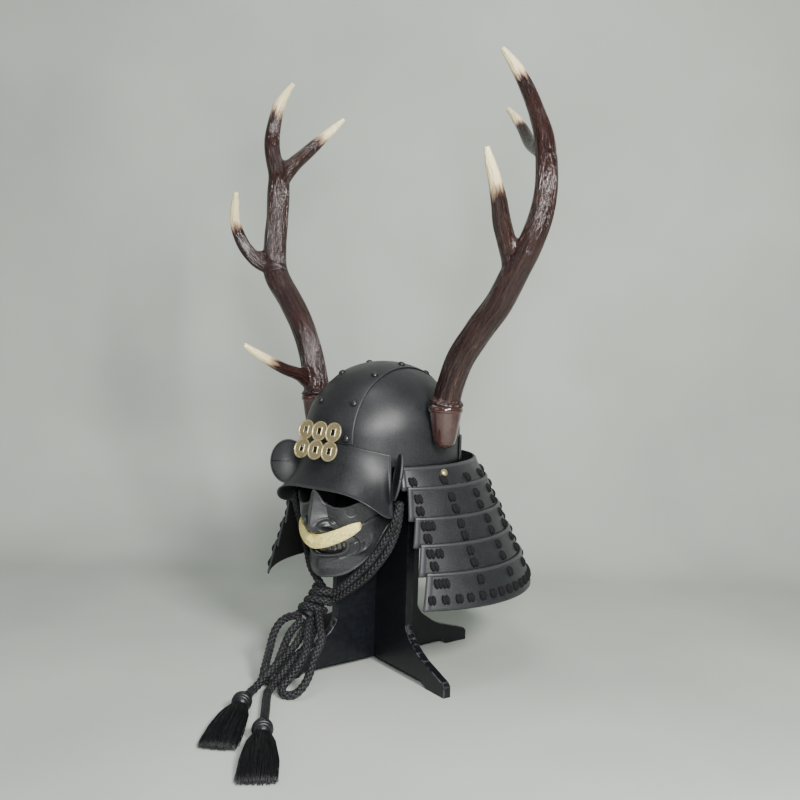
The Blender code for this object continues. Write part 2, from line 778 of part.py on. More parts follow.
def antler_route(sign, table):
    points = []
    for rise, out, fore, _ in table:
        x = sign * (ANTLER_OUT + ANTLER_SPREAD * out)
        y = -ANTLER_BASE_FORE - ANTLER_FORE * fore
        points.append(Vector((x, y, ANTLER_BASE_HEIGHT + ANTLER_RISE * rise)))
    return points


def antler(name, sign, beam, tines):
    points = antler_route(sign, beam)
    radii = [BEAM_RADIUS * row[3] for row in beam]
    burr = ((0.0, 0.66), (0.0022, 0.93), (0.0055, 1.0), (0.0090, 0.88), (0.0115, 0.70))
    rings = [points[0] + Vector((0.0, 0.0, along)) for along, _ in burr]
    widths = [BURR_RADIUS * share for _, share in burr]
    body = loft(name, tube_rings(rings + points[1:], widths + radii[1:], ANTLER_SIDES), HORN)
    for table in tines:
        branch = antler_route(sign, table)
        sizes = [BEAM_RADIUS * row[3] for row in table]
        limb = loft("tine", tube_rings(branch, sizes, ANTLER_SIDES - 2), HORN)
        cut(body, limb, "UNION")
    body.data.polygons.foreach_set("use_smooth", [True] * len(body.data.polygons))
    return body


antler("left_antler", 1.0, LEFT_BEAM, (LEFT_FORE_TINE, LEFT_BACK_TINE))
antler("right_antler", -1.0, RIGHT_BEAM, (RIGHT_BROW_TINE, RIGHT_FORE_TINE, RIGHT_BACK_TINE))

# Antler sockets, trimmed to the bowl.
for label, sign in (("left", 1.0), ("right", -1.0)):
    top = Vector((sign * ANTLER_OUT, -ANTLER_BASE_FORE, ANTLER_BASE_HEIGHT - SEAT_GAP))
    rings = []
    for down, share in ((0.0, 0.90), (0.05, 1.0), (0.12, 1.0), (0.80, 0.70), (0.94, 0.58), (1.0, 0.30)):
        ring = []
        for k in range(12):
            a = 2.0 * math.pi * (k + 0.5) / 12.0
            x = SOCKET_TOP_RADIUS * share * math.cos(a)
            y = SOCKET_TOP_RADIUS * share * math.sin(a)
            ring.append(top + Vector((x, y, -SOCKET_LENGTH * down)))
        rings.append(ring)
    socket = loft("%s_socket" % label, rings, SOCKET_BROWN)
    cut(socket, bowl_cutter(SEAT_GAP))

# Crest.
CREST_CENTRE = Vector((
    0.0,
    BOWL_BACK_SET - BOWL_HALF_LENGTH - CREST_FORE,
    RIM_HEIGHT + CREST_RISE,
))
CREST_LIE = Matrix.Rotation(math.radians(90.0) - CREST_LEAN, 3, "X")


def crest_prism(name, centre, outline, near, far, cutter=False):
    """Straight prism through the crest's plane."""
    rings = []
    for depth in (near, far):
        corners = [Vector((centre[0] + x, centre[1] + y, depth)) for x, y in outline]
        rings.append([CREST_CENTRE + CREST_LIE @ corner for corner in corners])
    return loft(name, rings, AGED_BRASS, smooth=False, cutter=cutter)


coin_turns = [2.0 * math.pi * (k + 0.5) / 20.0 for k in range(20)]
coin_outline = [(COIN_RADIUS * math.cos(a), COIN_RADIUS * math.sin(a)) for a in coin_turns]
half_wide = COIN_HOLE_WIDTH / 2.0
half_high = COIN_HOLE_HEIGHT / 2.0
hole_outline = [
    (-half_wide, -half_high),
    (half_wide, -half_high),
    (half_wide, half_high),
    (-half_wide, half_high),
]
coin_centres = [(COIN_PITCH * (c - 1), COIN_ROW_PITCH * (r - 0.5)) for r in range(2) for c in range(3)]
crest = crest_prism("coin_crest", coin_centres[0], coin_outline, 0.0, COIN_THICKNESS)
for centre in coin_centres[1:]:
    cut(crest, crest_prism("coin", centre, coin_outline, 0.0, COIN_THICKNESS), "UNION")
for centre in coin_centres:
    cut(crest, crest_prism("hole", centre, hole_outline, -0.01, 0.01, cutter=True))

post_back = BOWL_BACK_SET - BOWL_HALF_LENGTH - PLATE_OUT - 2.0 * SEAT_GAP
post_front = CREST_CENTRE.y + POST_RADIUS * math.tan(CREST_LEAN) + 2.0 * SEAT_GAP
rings = []
for y in (post_front, post_back):
    ring = []
    for k in range(10):
        a = math.pi * k / 5.0
        ring.append(Vector((POST_RADIUS * math.cos(a), y, CREST_CENTRE.z + POST_RADIUS * math.sin(a))))
    rings.append(ring)
loft("crest_post", rings, BLACK_LACQUER, smooth=False)

# Mask.
CHIN_HEIGHT = RIM_HEIGHT - MASK_CHIN_DROP


def mask_low(side):
    q = abs(side)
    return JAW_RISE * (0.25 * q ** 2 + 0.75 * q ** 4)


def mask_high(side):
    q = abs(side)
    eye = 0.101 + 0.012 * ((q - 0.43) / 0.37) ** 2
    if q > 0.80:
        eye = 0.113
    return MASK_HEIGHT / 0.141 * (eye + 0.008 * math.exp(-((q / 0.13) ** 4)))


def mask_point(side, up, out):
    """Side runs -1 to 1 across the face, up 0 at the jaw's edge to 1 at the eyes."""
    rise = mask_low(side) + (mask_high(side) - mask_low(side)) * up
    level = rise / MASK_HEIGHT
    fore, square = between(MASK_LINE, level)
    ridge, width = between(NOSE_LINE, level)
    if level < NOSE_LINE[0][0]:
        ridge = 0.0
    bend = (1.0 - min(0.9999, abs(side)) ** square) ** (1.0 / square)
    depth = MASK_FORE * fore - MASK_DEPTH * (1.0 - bend)
    depth += NOSE_RISE * ridge * math.exp(-((side / width) ** 2))
    x = (MASK_HALF_WIDTH + out) * side
    return Vector((x, -(depth + out * (0.35 + 0.65 * bend)), CHIN_HEIGHT + rise))


mask_sides = (0.0, 0.07, 0.13, 0.19, 0.26, 0.36, 0.48, 0.60, 0.72, 0.83, 0.92, 0.975, 0.995)
mask_sides = [-s for s in reversed(mask_sides[1:])] + list(mask_sides)
mask_ups = (0.0, 0.10, 0.20, 0.30, 0.40, 0.47, 0.53, 0.60, 0.70, 0.82, 0.92, 1.0)
mask = shell(
    "face_mask",
    [[mask_point(s, u, 0.0) for u in mask_ups] for s in mask_sides],
    [[mask_point(s, u, -MASK_WALL) for u in mask_ups] for s in mask_sides],
    BLACK_LACQUER,
)
MOUTH_HEIGHT = CHIN_HEIGHT + MOUTH_RISE
mouth_rings = []
for y in (-MASK_FORE - MOUTH_CUT_REACH, -MASK_FORE + MOUTH_CUT_REACH):
    ring = []
    for k in range(16):
        a = 2.0 * math.pi * k / 16.0
        z = MOUTH_HEIGHT + MOUTH_HALF_HEIGHT * math.sin(a)
        ring.append(Vector((MOUTH_HALF_WIDTH * math.cos(a), y, z)))
    mouth_rings.append(ring)
cut(mask, loft("mouth", mouth_rings, None, cutter=True))


# Teeth: a curved strip behind the mouth.
def face_depth(x, z, out):
    """Distance ahead of the stand axis of the mask's face without the nose."""
    fore, square = between(MASK_LINE, (z - CHIN_HEIGHT) / MASK_HEIGHT)
    side = min(0.9999, abs(x) / MASK_HALF_WIDTH)
    bend = (1.0 - side ** square) ** (1.0 / square)
    return MASK_FORE * fore - MASK_DEPTH * (1.0 - bend) + out


teeth_sides = [1.15 * MOUTH_HALF_WIDTH * (k / 5.0 - 1.0) for k in range(11)]
teeth_levels = (MOUTH_HEIGHT - 0.6 * MOUTH_HALF_HEIGHT, MOUTH_HEIGHT + 1.1 * MOUTH_HALF_HEIGHT)


def tooth_point(x, z, back):
    return Vector((x, -face_depth(x, z, -MASK_WALL - back), z))


shell(
    "teeth",
    [[tooth_point(x, z, 0.0016) for z in teeth_levels] for x in teeth_sides],
    [[tooth_point(x, z, 0.0044) for z in teeth_levels] for x in teeth_sides],
    TOOTH,
)

# Moustache: a crescent lying on the upper lip, tapering to its ends.
moustache_points = []
moustache_radii = []
for k in range(13):
    side = k / 6.0 - 1.0
    x = MOUSTACHE_HALF_WIDTH * side
    z = CHIN_HEIGHT + MOUSTACHE_RISE + 0.025 * abs(side) ** 1.7
    radius = MOUSTACHE_RADIUS * (1.0 - 0.75 * abs(side) ** 4)
    clear = radius * 0.62 + 0.0023
    moustache_points.append(Vector((x, -face_depth(x, z - 0.3 * radius, clear), z)))
    moustache_radii.append(radius)
rings = []
for spot, radius in zip(moustache_points, moustache_radii):
    ring = []
    for k in range(8):
        a = 2.0 * math.pi * k / 8.0
        ring.append(spot + Vector((0.0, -0.58 * radius * math.cos(a), radius * math.sin(a))))
    rings.append(ring)
loft("moustache", rings, CREAM_HAIR)

# Stand.
REST_HALF_WIDTH = REST_SHARE * (BOWL_HALF_WIDTH - BOWL_WALL)
REST_HALF_LENGTH = REST_SHARE * (BOWL_HALF_LENGTH - BOWL_WALL)
REST_TOP = CROWN_HEIGHT + (BOWL_CROWN - BOWL_WALL) * math.sqrt(1.0 - REST_SHARE ** 2) - REST_CLEARANCE
COLUMN_TOP = REST_TOP - REST_THICKNESS - SEAT_GAP
rest_rings = []
for z, share in ((REST_TOP, 0.985), (REST_TOP - REST_THICKNESS, 0.985)):
    ring = []
    for k in range(BOWL_SEGMENTS):
        a = 2.0 * math.pi * k / BOWL_SEGMENTS
        x = REST_HALF_WIDTH * share * math.sin(a)
        ring.append(Vector((x, BOWL_BACK_SET - REST_HALF_LENGTH * share * math.cos(a), z)))
    rest_rings.append(ring)
loft("stand_rest", rest_rings, BLACK_WOOD, smooth=False)



def board(name, turn, column, slot_low, slot_high):
    """Column with two feet, sawn from one board and slotted for the other."""
    half_outline = [
        (LEG_REACH - FOOT_LENGTH - 0.008, UNDER_GAP),
        (LEG_REACH - FOOT_LENGTH, 0.0),
        (LEG_REACH, 0.0),
        (LEG_REACH, FOOT_HEIGHT - 0.005),
        (LEG_REACH - 0.005, FOOT_HEIGHT),
        (column + 0.045, SHOULDER_HEIGHT - 0.026),
        (column + 0.018, SHOULDER_HEIGHT - 0.010),
        (column + 0.005, SHOULDER_HEIGHT + 0.002),
        (column, SHOULDER_HEIGHT + 0.012),
        (column, COLUMN_TOP),
    ]
    board_outline = half_outline + [(-x, z) for x, z in reversed(half_outline)]
    along = Vector((math.cos(turn), math.sin(turn), 0.0))
    across = Vector((-math.sin(turn), math.cos(turn), 0.0))
    rings = []
    for side in (-0.5, 0.5):
        offset = across * (BOARD_THICKNESS * side)
        rings.append([along * x + Vector((0.0, 0.0, z)) + offset for x, z in board_outline])
    body = loft(name, rings, BLACK_WOOD, smooth=False)
    half = BOARD_THICKNESS / 2.0 / math.sin(BOARD_ANGLE) + LAP_CLEARANCE
    rings = []
    for z in (slot_low, slot_high):
        corners = ((-half, -0.02), (half, -0.02), (half, 0.02), (-half, 0.02))
        rings.append([along * x + across * y + Vector((0.0, 0.0, z)) for x, y in corners])
    cut(body, loft("slot", rings, None, cutter=True))


LAP_HEIGHT = COLUMN_TOP / 2.0
board("cross_board", STAND_TURN, COLUMN_HALF_WIDTH, LAP_HEIGHT - SEAT_GAP / 2.0, COLUMN_TOP + 0.02)
board("long_board", LONG_TURN, FORE_COLUMN_HALF_WIDTH, -0.02, LAP_HEIGHT + SEAT_GAP / 2.0)

# Bracket from the column to the back of the mask.
column_front = Vector((-math.cos(LONG_TURN), -math.sin(LONG_TURN), 0.0)) * FORE_COLUMN_HALF_WIDTH
bracket_z = CHIN_HEIGHT + 0.60 * MASK_HEIGHT
bracket_x = column_front.x
bracket_start = column_front.y - 0.5 * BOARD_THICKNESS * abs(math.cos(LONG_TURN)) - SEAT_GAP
bracket_end = -face_depth(abs(bracket_x) + BRACKET_WIDTH / 2.0, bracket_z, -MASK_WALL - MASK_CLEARANCE)
rings = []
for y in (bracket_start, bracket_end):
    wide = BRACKET_WIDTH / 2.0
    high = BRACKET_THICKNESS / 2.0
    corners = ((-wide, -high), (wide, -high), (wide, high), (-wide, high))
    rings.append([Vector((bracket_x + x, y, bracket_z + z)) for x, z in corners])
loft("mask_bracket", rings, BLACK_WOOD, smooth=False)


# Cords.
def smooth_route(points, pieces):
    """Points on a smooth curve through the route, evenly many between neighbours."""
    path = [Vector(p) for p in points]
    path = [2.0 * path[0] - path[1]] + path + [2.0 * path[-1] - path[-2]]
    result = []
    for a, b, c, d in zip(path, path[1:], path[2:], path[3:]):
        for k in range(pieces):
            t = k / pieces
            result.append(
                0.5 * (2.0 * b + (c - a) * t + (2.0 * a - 5.0 * b + 4.0 * c - d) * t * t
                       + (3.0 * b - a - 3.0 * c + d) * t ** 3)
            )
    result.append(path[-2])
    return result


def knot_solid(name, out, cutter=False):
    points = [Vector(row[:3]) for row in KNOT_ROUTE]
    points[0] += (points[0] - points[1]).normalized() * out
    points[-1] += (points[-1] - points[-2]).normalized() * out
    radii = [KNOT_RADIUS * row[3] + out for row in KNOT_ROUTE]
    return loft(name, tube_rings(points, radii, 12), BLACK_CORD, cutter=cutter)


def cord(name, points, pieces=1):
    """Round cord along a route, ending on the knot's face."""
    route = smooth_route(points, pieces)
    tube = loft(name, tube_rings(route, [CORD_DIAMETER / 2.0] * len(route), 8), BLACK_CORD)
    cut(tube, knot_solid("knot_cutter", 2.0 * SEAT_GAP, cutter=True))


cord("left_cord", LEFT_CORD)
cord("left_back_cord", LEFT_BACK_CORD)
cord("right_cord", RIGHT_CORD)
cord("right_loop", RIGHT_LOOP)
cord("left_loop", LEFT_LOOP)
cord("right_tail", RIGHT_TAIL)
cord("left_tail", LEFT_TAIL)
knot_solid("knot", 0.0)


def tassel(name, tail):
    """Wound head and a skirt of locks, lying on the floor."""
    start = Vector(tail[-1])
    along = start - Vector(tail[-2])
    along.z = 0.0
    along.normalize()
    across = Vector((-along.y, along.x, 0.0))
    rings = []
    for far, wide, high in TASSEL_LINE:
        half_w = TASSEL_HALF_WIDTH * wide
        half_h = TASSEL_HALF_WIDTH * high
        spot = start + along * (TASSEL_LENGTH * far + 2.0 * SEAT_GAP)
        lift = max(half_h, start.z * (1.0 - 4.0 * far)) + 0.0006
        ring = []
        for k in range(16):
            a = 2.0 * math.pi * k / 16.0
            lock = 1.0
            if far > 0.15:
                lock = 1.0 - 0.12 * (k % 2)
            y = half_w * lock * math.cos(a)
            z = half_h * lock * math.sin(a)
            ring.append(Vector((spot.x, spot.y, lift)) + across * y + Vector((0.0, 0.0, z)))
        rings.append(ring)
    loft(name, rings, BLACK_CORD)


tassel("right_tassel", RIGHT_TAIL)
tassel("left_tassel", LEFT_TAIL)

# Set the middle of the footprint on the origin, the cords apart.
CORD_NAMES = ("cord", "loop", "tail", "tassel", "knot")
solid = [obj for obj in PARTS.objects if not any(word in obj.name for word in CORD_NAMES)]
spots = [vertex.co for obj in solid for vertex in obj.data.vertices]
middle_x = (min(p.x for p in spots) + max(p.x for p in spots)) / 2.0
middle_y = (min(p.y for p in spots) + max(p.y for p in spots)) / 2.0
for obj in PARTS.objects:
    obj.data.transform(Matrix.Translation((-middle_x, -middle_y, 0.0)))
    obj.data.update()
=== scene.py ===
"""Looks of a samurai helmet with a face mask, stag antlers and a coin crest on a crossed wooden stand."""

import math
import random

import bmesh
import bpy
import numpy as np
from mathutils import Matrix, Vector, noise
from mathutils.kdtree import KDTree


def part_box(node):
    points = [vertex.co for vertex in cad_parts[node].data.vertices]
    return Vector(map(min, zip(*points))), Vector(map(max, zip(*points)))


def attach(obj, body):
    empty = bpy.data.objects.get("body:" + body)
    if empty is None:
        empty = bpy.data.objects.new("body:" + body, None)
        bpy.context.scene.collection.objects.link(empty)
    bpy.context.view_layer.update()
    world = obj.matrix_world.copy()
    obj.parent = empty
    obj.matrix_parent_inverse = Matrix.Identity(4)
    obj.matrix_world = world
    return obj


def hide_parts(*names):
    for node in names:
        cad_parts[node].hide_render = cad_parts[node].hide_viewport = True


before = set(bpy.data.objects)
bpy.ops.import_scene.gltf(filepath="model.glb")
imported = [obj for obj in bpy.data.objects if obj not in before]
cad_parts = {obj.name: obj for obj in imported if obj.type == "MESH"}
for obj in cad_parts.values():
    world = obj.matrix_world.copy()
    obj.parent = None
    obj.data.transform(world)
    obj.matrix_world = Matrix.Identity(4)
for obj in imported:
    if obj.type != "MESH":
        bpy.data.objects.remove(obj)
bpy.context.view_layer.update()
random.seed(7)

# Sizes that several pieces share, in metres, measured from the upright axis of the stand.
RIM_HEIGHT = 0.305
BOWL_HALF_WIDTH = 0.107
BOWL_HALF_LENGTH = 0.124
BOWL_BACK_SET = 0.005
BOWL_SIDE = 0.038
BOWL_CROWN = 0.1015
CROWN_HEIGHT = RIM_HEIGHT + BOWL_SIDE
PLATE_OUT = 0.0022

rest_low, rest_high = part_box("stand_rest")
AXIS = np.array([
    (rest_low[0] + rest_high[0]) / 2.0,
    (rest_low[1] + rest_high[1]) / 2.0 - BOWL_BACK_SET,
    0.0,
])


# Camera: a phone held a little in front of the wearer's left side, just above the visor.
CAMERA_SPOT = (0.8626, -1.1072, 0.4900)
CAMERA_TURN = (85.912, -1.819, 37.0)
camera = bpy.data.objects.new("camera", bpy.data.cameras.new("camera"))
camera.data.lens = 43.07
camera.data.sensor_width = 36.0
camera.location = AXIS + np.array(CAMERA_SPOT)
camera.rotation_euler = [math.radians(angle) for angle in CAMERA_TURN]
bpy.context.scene.collection.objects.link(camera)
bpy.context.scene.camera = camera


# Cords: a round black braid of eight strands, tied under the chin, with two loops and two tails.
CORD_DIAMETER = 0.0114
BRAID_PITCH = 0.030
ROUTE_STEP = 0.0014
LEFT_CORD = (
    (0.0990, -0.0850, 0.2600),
    (0.0985, -0.0840, 0.2520),
    (0.0900, -0.0850, 0.2260),
    (0.0753, -0.0880, 0.1990),
    (0.0592, -0.0940, 0.1740),
    (0.0404, -0.0990, 0.1530),
    (0.0130, -0.1000, 0.1300),
    (-0.0050, -0.1000, 0.1180),
)
LEFT_BACK_CORD = (
    (0.0930, -0.0735, 0.2560),
    (0.0925, -0.0730, 0.2480),
    (0.0890, -0.0740, 0.2210),
    (0.0800, -0.0790, 0.1930),
    (0.0650, -0.0850, 0.1680),
    (0.0460, -0.0900, 0.1460),
    (0.0130, -0.0910, 0.1210),
    (-0.0060, -0.0930, 0.1080),
)
RIGHT_CORD = (
    (-0.0960, -0.0820, 0.2600),
    (-0.0940, -0.0810, 0.2400),
    (-0.0860, -0.0770, 0.2100),
    (-0.0680, -0.0820, 0.1750),
    (-0.0580, -0.0890, 0.1630),
    (-0.0430, -0.0990, 0.1500),
    (-0.0270, -0.1030, 0.1370),
    (-0.0190, -0.1010, 0.1260),
)
KNOT_AXIS = (
    (-0.014, -0.0960, 0.1320),
    (-0.016, -0.1010, 0.1180),
    (-0.021, -0.1080, 0.1040),
    (-0.027, -0.1150, 0.0920),
    (-0.032, -0.1230, 0.0800),
)
RIGHT_LOOP = (
    (-0.0330, -0.1130, 0.0985),
    (-0.0480, -0.1220, 0.0840),
    (-0.0610, -0.1260, 0.0790),
    (-0.0700, -0.1330, 0.0700),
    (-0.0710, -0.1440, 0.0560),
    (-0.0650, -0.1570, 0.0400),
    (-0.0480, -0.1820, 0.0265),
    (-0.0460, -0.1880, 0.0150),
    (-0.0380, -0.1890, 0.0085),
    (-0.0310, -0.1850, 0.0150),
    (-0.0335, -0.1780, 0.0240),
    (-0.0380, -0.1640, 0.0362),
    (-0.0430, -0.1510, 0.0470),
    (-0.0440, -0.1390, 0.0620),
    (-0.0400, -0.1310, 0.0720),
    (-0.0340, -0.1230, 0.0815),
)
LEFT_LOOP = (
    (-0.0180, -0.1130, 0.1030),
    (-0.0005, -0.1270, 0.0885),
    (0.0110, -0.1370, 0.0800),
    (0.0220, -0.1460, 0.0690),
    (0.0240, -0.1620, 0.0500),
    (0.0280, -0.1800, 0.0250),
    (0.0240, -0.1950, 0.0100),
    (0.0110, -0.2030, 0.0060),
    (0.0010, -0.2000, 0.0120),
    (0.0060, -0.1880, 0.0260),
    (0.0120, -0.1730, 0.0460),
    (0.0080, -0.1600, 0.0600),
    (-0.0060, -0.1440, 0.0740),
    (-0.0150, -0.1265, 0.0865),
)
RIGHT_TAIL = (
    (-0.0240, -0.1195, 0.0825),
    (-0.0200, -0.1400, 0.0680),
    (-0.0190, -0.1530, 0.0560),
    (-0.0260, -0.1720, 0.0380),
    (-0.0290, -0.1990, 0.0225),
    (-0.0340, -0.2120, 0.0090),
    (-0.0300, -0.2280, 0.0055),
    (-0.0140, -0.2500, 0.0065),
    (-0.0060, -0.2630, 0.0075),
)
LEFT_TAIL = (
    (-0.0150, -0.1130, 0.0880),
    (-0.0090, -0.1320, 0.0640),
    (-0.0085, -0.1470, 0.0500),
    (-0.0130, -0.1590, 0.0420),
    (-0.0150, -0.1720, 0.0310),
    (-0.0180, -0.1880, 0.0160),
    (-0.0160, -0.2060, 0.0070),
    (-0.0020, -0.2250, 0.0055),
    (0.0240, -0.2530, 0.0055),
    (0.0540, -0.2860, 0.0065),
    (0.0720, -0.3060, 0.0075),
)


def smooth_route(points, step):
    """Evenly spaced points on a smooth curve through the route's own points."""
    path = np.array(points)
    path = np.vstack([2.0 * path[0] - path[1], path, 2.0 * path[-1] - path[-2]])
    t = np.linspace(0.0, 1.0, 24, endpoint=False)[:, None]
    curve = []
    for a, b, c, d in zip(path, path[1:], path[2:], path[3:]):
        bend = (2.0 * a - 5.0 * b + 4.0 * c - d) * t ** 2 + (3.0 * b - a - 3.0 * c + d) * t ** 3
        curve.append(0.5 * (2.0 * b + (c - a) * t + bend))
    curve = np.vstack(curve + [path[-2:-1]])
    along = np.concatenate([[0.0], np.cumsum(np.linalg.norm(np.diff(curve, axis=0), axis=1))])
    places = np.linspace(0.0, along[-1], max(3, int(along[-1] / step)))
    return np.stack([np.interp(places, along, curve[:, k]) for k in range(3)], axis=1)


def route_length(route):
    return float(np.linalg.norm(np.diff(route, axis=0), axis=1).sum())


def cross_axes(route):
    """Heading and two cross axes along a route, turning as little as possible."""
    heads = np.gradient(route, axis=0)
    heads /= np.linalg.norm(heads, axis=1)[:, None]
    side = np.array(Vector(heads[0]).orthogonal().normalized())
    sides = []
    for head in heads:
        side = side - head * side.dot(head)
        side = side / np.linalg.norm(side)
        sides.append(side)
    sides = np.array(sides)
    return heads, sides, np.cross(heads, sides)


def ring_faces(rings, count):
    """Quads round a stack of rings, with a cap at each end."""
    k = np.arange(rings * count).reshape(rings, count)
    turned = np.roll(k, -1, axis=1)
    quads = np.stack([k[:-1], turned[:-1], turned[1:], k[1:]], axis=-1).reshape(-1, 4)
    return quads.tolist() + [k[0][::-1].tolist(), k[-1].tolist()]


def tube(route, radii, count, flat=1.0, axes=None):
    """Vertices and faces of a tube; flat is its second half width as a share of the first."""
    sides, ups = axes if axes else cross_axes(route)[1:]
    turns = 2.0 * math.pi * np.arange(count) / count
    radii = np.broadcast_to(radii, len(route))[:, None, None]
    ring = sides[:, None] * np.cos(turns)[None, :, None] + ups[:, None] * np.sin(turns)[None, :, None] * flat
    return (route[:, None] + ring * radii).reshape(-1, 3), ring_faces(len(route), count)


def braid(route, radius, pitch):
    """Eight flat strands, four each way round, passing over and under each other."""
    along = np.concatenate([[0.0], np.cumsum(np.linalg.norm(np.diff(route, axis=0), axis=1))])
    heads, sides, ups = cross_axes(route)
    chunks = [tube(route[::3], radius * 0.56, 8)]
    for sense in (1.0, -1.0):
        for strand in range(4):
            turn = sense * 2.0 * math.pi * along / pitch + math.pi / 2.0 * strand
            over = sense * np.cos(8.0 * math.pi * along / pitch)
            radial = sides * np.cos(turn)[:, None] + ups * np.sin(turn)[:, None]
            centre = route + radial * (radius * (0.74 + 0.13 * over))[:, None]
            ahead = np.gradient(centre, axis=0)
            round_way = np.cross(ahead / np.linalg.norm(ahead, axis=1)[:, None], radial)
            chunks.append(tube(centre, radius * 0.37, 6, 0.52, (round_way, radial)))
    return chunks


def build(name, chunks, nodes, shader, layers=None, sharp=None):
    """Mesh object from chunks of vertices and faces, shown in place of its CAD nodes."""
    spots = np.vstack([spots for spots, _ in chunks]) + AXIS
    faces = []
    start = 0
    for part, own in chunks:
        faces.extend([[index + start for index in face] for face in own])
        start += len(part)
    mesh = bpy.data.meshes.new(name)
    mesh.from_pydata(spots.tolist(), [], faces)
    for layer, values in (layers or {}).items():
        kind, key = ("FLOAT_VECTOR", "vector") if np.ndim(values) == 2 else ("FLOAT", "value")
        mesh.attributes.new(layer, kind, "POINT").data.foreach_set(key, np.asarray(values).ravel())
    bm = bmesh.new()
    bm.from_mesh(mesh)
    bmesh.ops.delete(bm, geom=[vert for vert in bm.verts if not vert.link_faces], context="VERTS")
    bmesh.ops.recalc_face_normals(bm, faces=bm.faces)
    bm.to_mesh(mesh)
    bm.free()
    mesh.materials.append(shader)
    mesh.polygons.foreach_set("use_smooth", np.ones(len(mesh.polygons), dtype=bool))
    if sharp:
        mesh.set_sharp_from_angle(angle=math.radians(sharp))
    piece = bpy.data.objects.new(name, mesh)
    bpy.context.scene.collection.objects.link(piece)
    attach(piece, "root")
    if nodes:
        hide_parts(*nodes)
    return piece


def shader_tree(name, roughness, metallic=0.0, **constants):
    """Material with its Principled node and a way to add nodes to it."""
    shader = bpy.data.materials.new(name)
    shader.use_nodes = True
    tree = shader.node_tree
    surface = tree.nodes["Principled BSDF"]
    surface.inputs["Roughness"].default_value = roughness
    surface.inputs["Metallic"].default_value = metallic
    for socket, value in constants.items():
        surface.inputs[socket.replace("_", " ")].default_value = value
    return shader, tree, surface


def add_node(tree, kind, inputs=None, **settings):
    """Node with its settings, its inputs set to values or linked from other nodes' outputs."""
    node = tree.nodes.new(kind)
    for key, value in settings.items():
        setattr(node, key, value)
    for key, value in (inputs or {}).items():
        if isinstance(value, bpy.types.NodeSocket):
            tree.links.new(value, node.inputs[key])
        else:
            node.inputs[key].default_value = value
    return node


def colour_ramp(tree, factor, stops):
    ramp = add_node(tree, "ShaderNodeValToRGB", {"Fac": factor})
    while len(ramp.color_ramp.elements) < len(stops):
        ramp.color_ramp.elements.new(0.5)
    for element, (place, colour) in zip(ramp.color_ramp.elements, stops):
        element.position = place
        element.color = (*colour, 1.0)
    return ramp.outputs["Color"]


cord_shader, tree, surface = shader_tree("cord_braid", 0.58, Specular_IOR_Level=0.45)
spot = add_node(tree, "ShaderNodeTexCoord").outputs["Object"]
thread = add_node(tree, "ShaderNodeTexNoise", {"Vector": spot, "Scale": 900.0, "Detail": 2.0})
patch = add_node(tree, "ShaderNodeTexNoise", {"Vector": spot, "Scale": 60.0, "Detail": 1.0})
blend = add_node(
    tree, "ShaderNodeMath", {0: thread.outputs["Fac"], 1: patch.outputs["Fac"]}, operation="MULTIPLY",
)
tint = colour_ramp(tree, blend.outputs[0], [(0.12, (0.003, 0.003, 0.004)), (0.42, (0.020, 0.020, 0.024))])
tree.links.new(tint, surface.inputs["Base Color"])
fuzz = add_node(
    tree, "ShaderNodeBump", {"Height": thread.outputs["Fac"], "Strength": 0.5, "Distance": 0.0004},
)
tree.links.new(fuzz.outputs["Normal"], surface.inputs["Normal"])

ROUTES = {
    "left_cord": LEFT_CORD,
    "left_back_cord": LEFT_BACK_CORD,
    "right_cord": RIGHT_CORD,
    "right_loop": RIGHT_LOOP,
    "left_loop": LEFT_LOOP,
    "right_tail": RIGHT_TAIL,
    "left_tail": LEFT_TAIL,
}
for name, points in ROUTES.items():
    route = smooth_route(points, ROUTE_STEP)
    route[:, 2] = np.maximum(route[:, 2], CORD_DIAMETER / 2.0 + 0.0005)
    piece = build(
        name + "_braid", braid(route, CORD_DIAMETER / 2.0, BRAID_PITCH), [name], cord_shader,
    )

# Knot: the cord wound three times round itself, each turn slanting down to the wearer's right.
KNOT_WINDING_RADIUS = 0.0140
KNOT_TURNS = 3.7
KNOT_SLANT = 0.0060
axis_line = smooth_route(KNOT_AXIS, 0.0002)[30:-40]
heads, sides, ups = cross_axes(axis_line)
turn = np.linspace(0.0, 2.0 * math.pi * KNOT_TURNS, len(axis_line))
winding = axis_line + (sides * np.cos(turn)[:, None] + ups * np.sin(turn)[:, None]) * KNOT_WINDING_RADIUS
winding += heads * (KNOT_SLANT * np.sin(turn + 0.6))[:, None]
winding = smooth_route(winding[::5], ROUTE_STEP)
knot_chunks = braid(winding, CORD_DIAMETER / 2.0, BRAID_PITCH)
knot_chunks.append(tube(axis_line[::8], 0.0105, 16))
knot_piece = build("wound_knot", knot_chunks, ["knot"], cord_shader)

# Tassels: a wound head and a skirt of straight silky strands, lying where the tails end.
TASSEL_LENGTH = 0.125
TASSEL_HALF_WIDTH = 0.0240
TASSEL_STRANDS = 900
HEAD_RADIUS = 0.0105
HEAD_LENGTH = 0.0170
TASSEL_LINE = np.array((
    (0.000, 0.20, 0.20),
    (0.118, 0.32, 0.30),
    (0.170, 0.44, 0.40),
    (0.400, 0.78, 0.44),
    (0.700, 0.94, 0.34),
    (0.960, 0.98, 0.17),
    (1.000, 0.98, 0.10),
))
silk, tree, surface = shader_tree("tassel_silk", 0.42, Specular_IOR_Level=0.5)
spot = add_node(tree, "ShaderNodeTexCoord").outputs["Object"]
strand_noise = add_node(tree, "ShaderNodeTexNoise", {"Vector": spot, "Scale": 400.0})
tint = colour_ramp(
    tree, strand_noise.outputs["Fac"], [(0.3, (0.002, 0.002, 0.003)), (0.7, (0.010, 0.010, 0.013))],
)
tree.links.new(tint, surface.inputs["Base Color"])


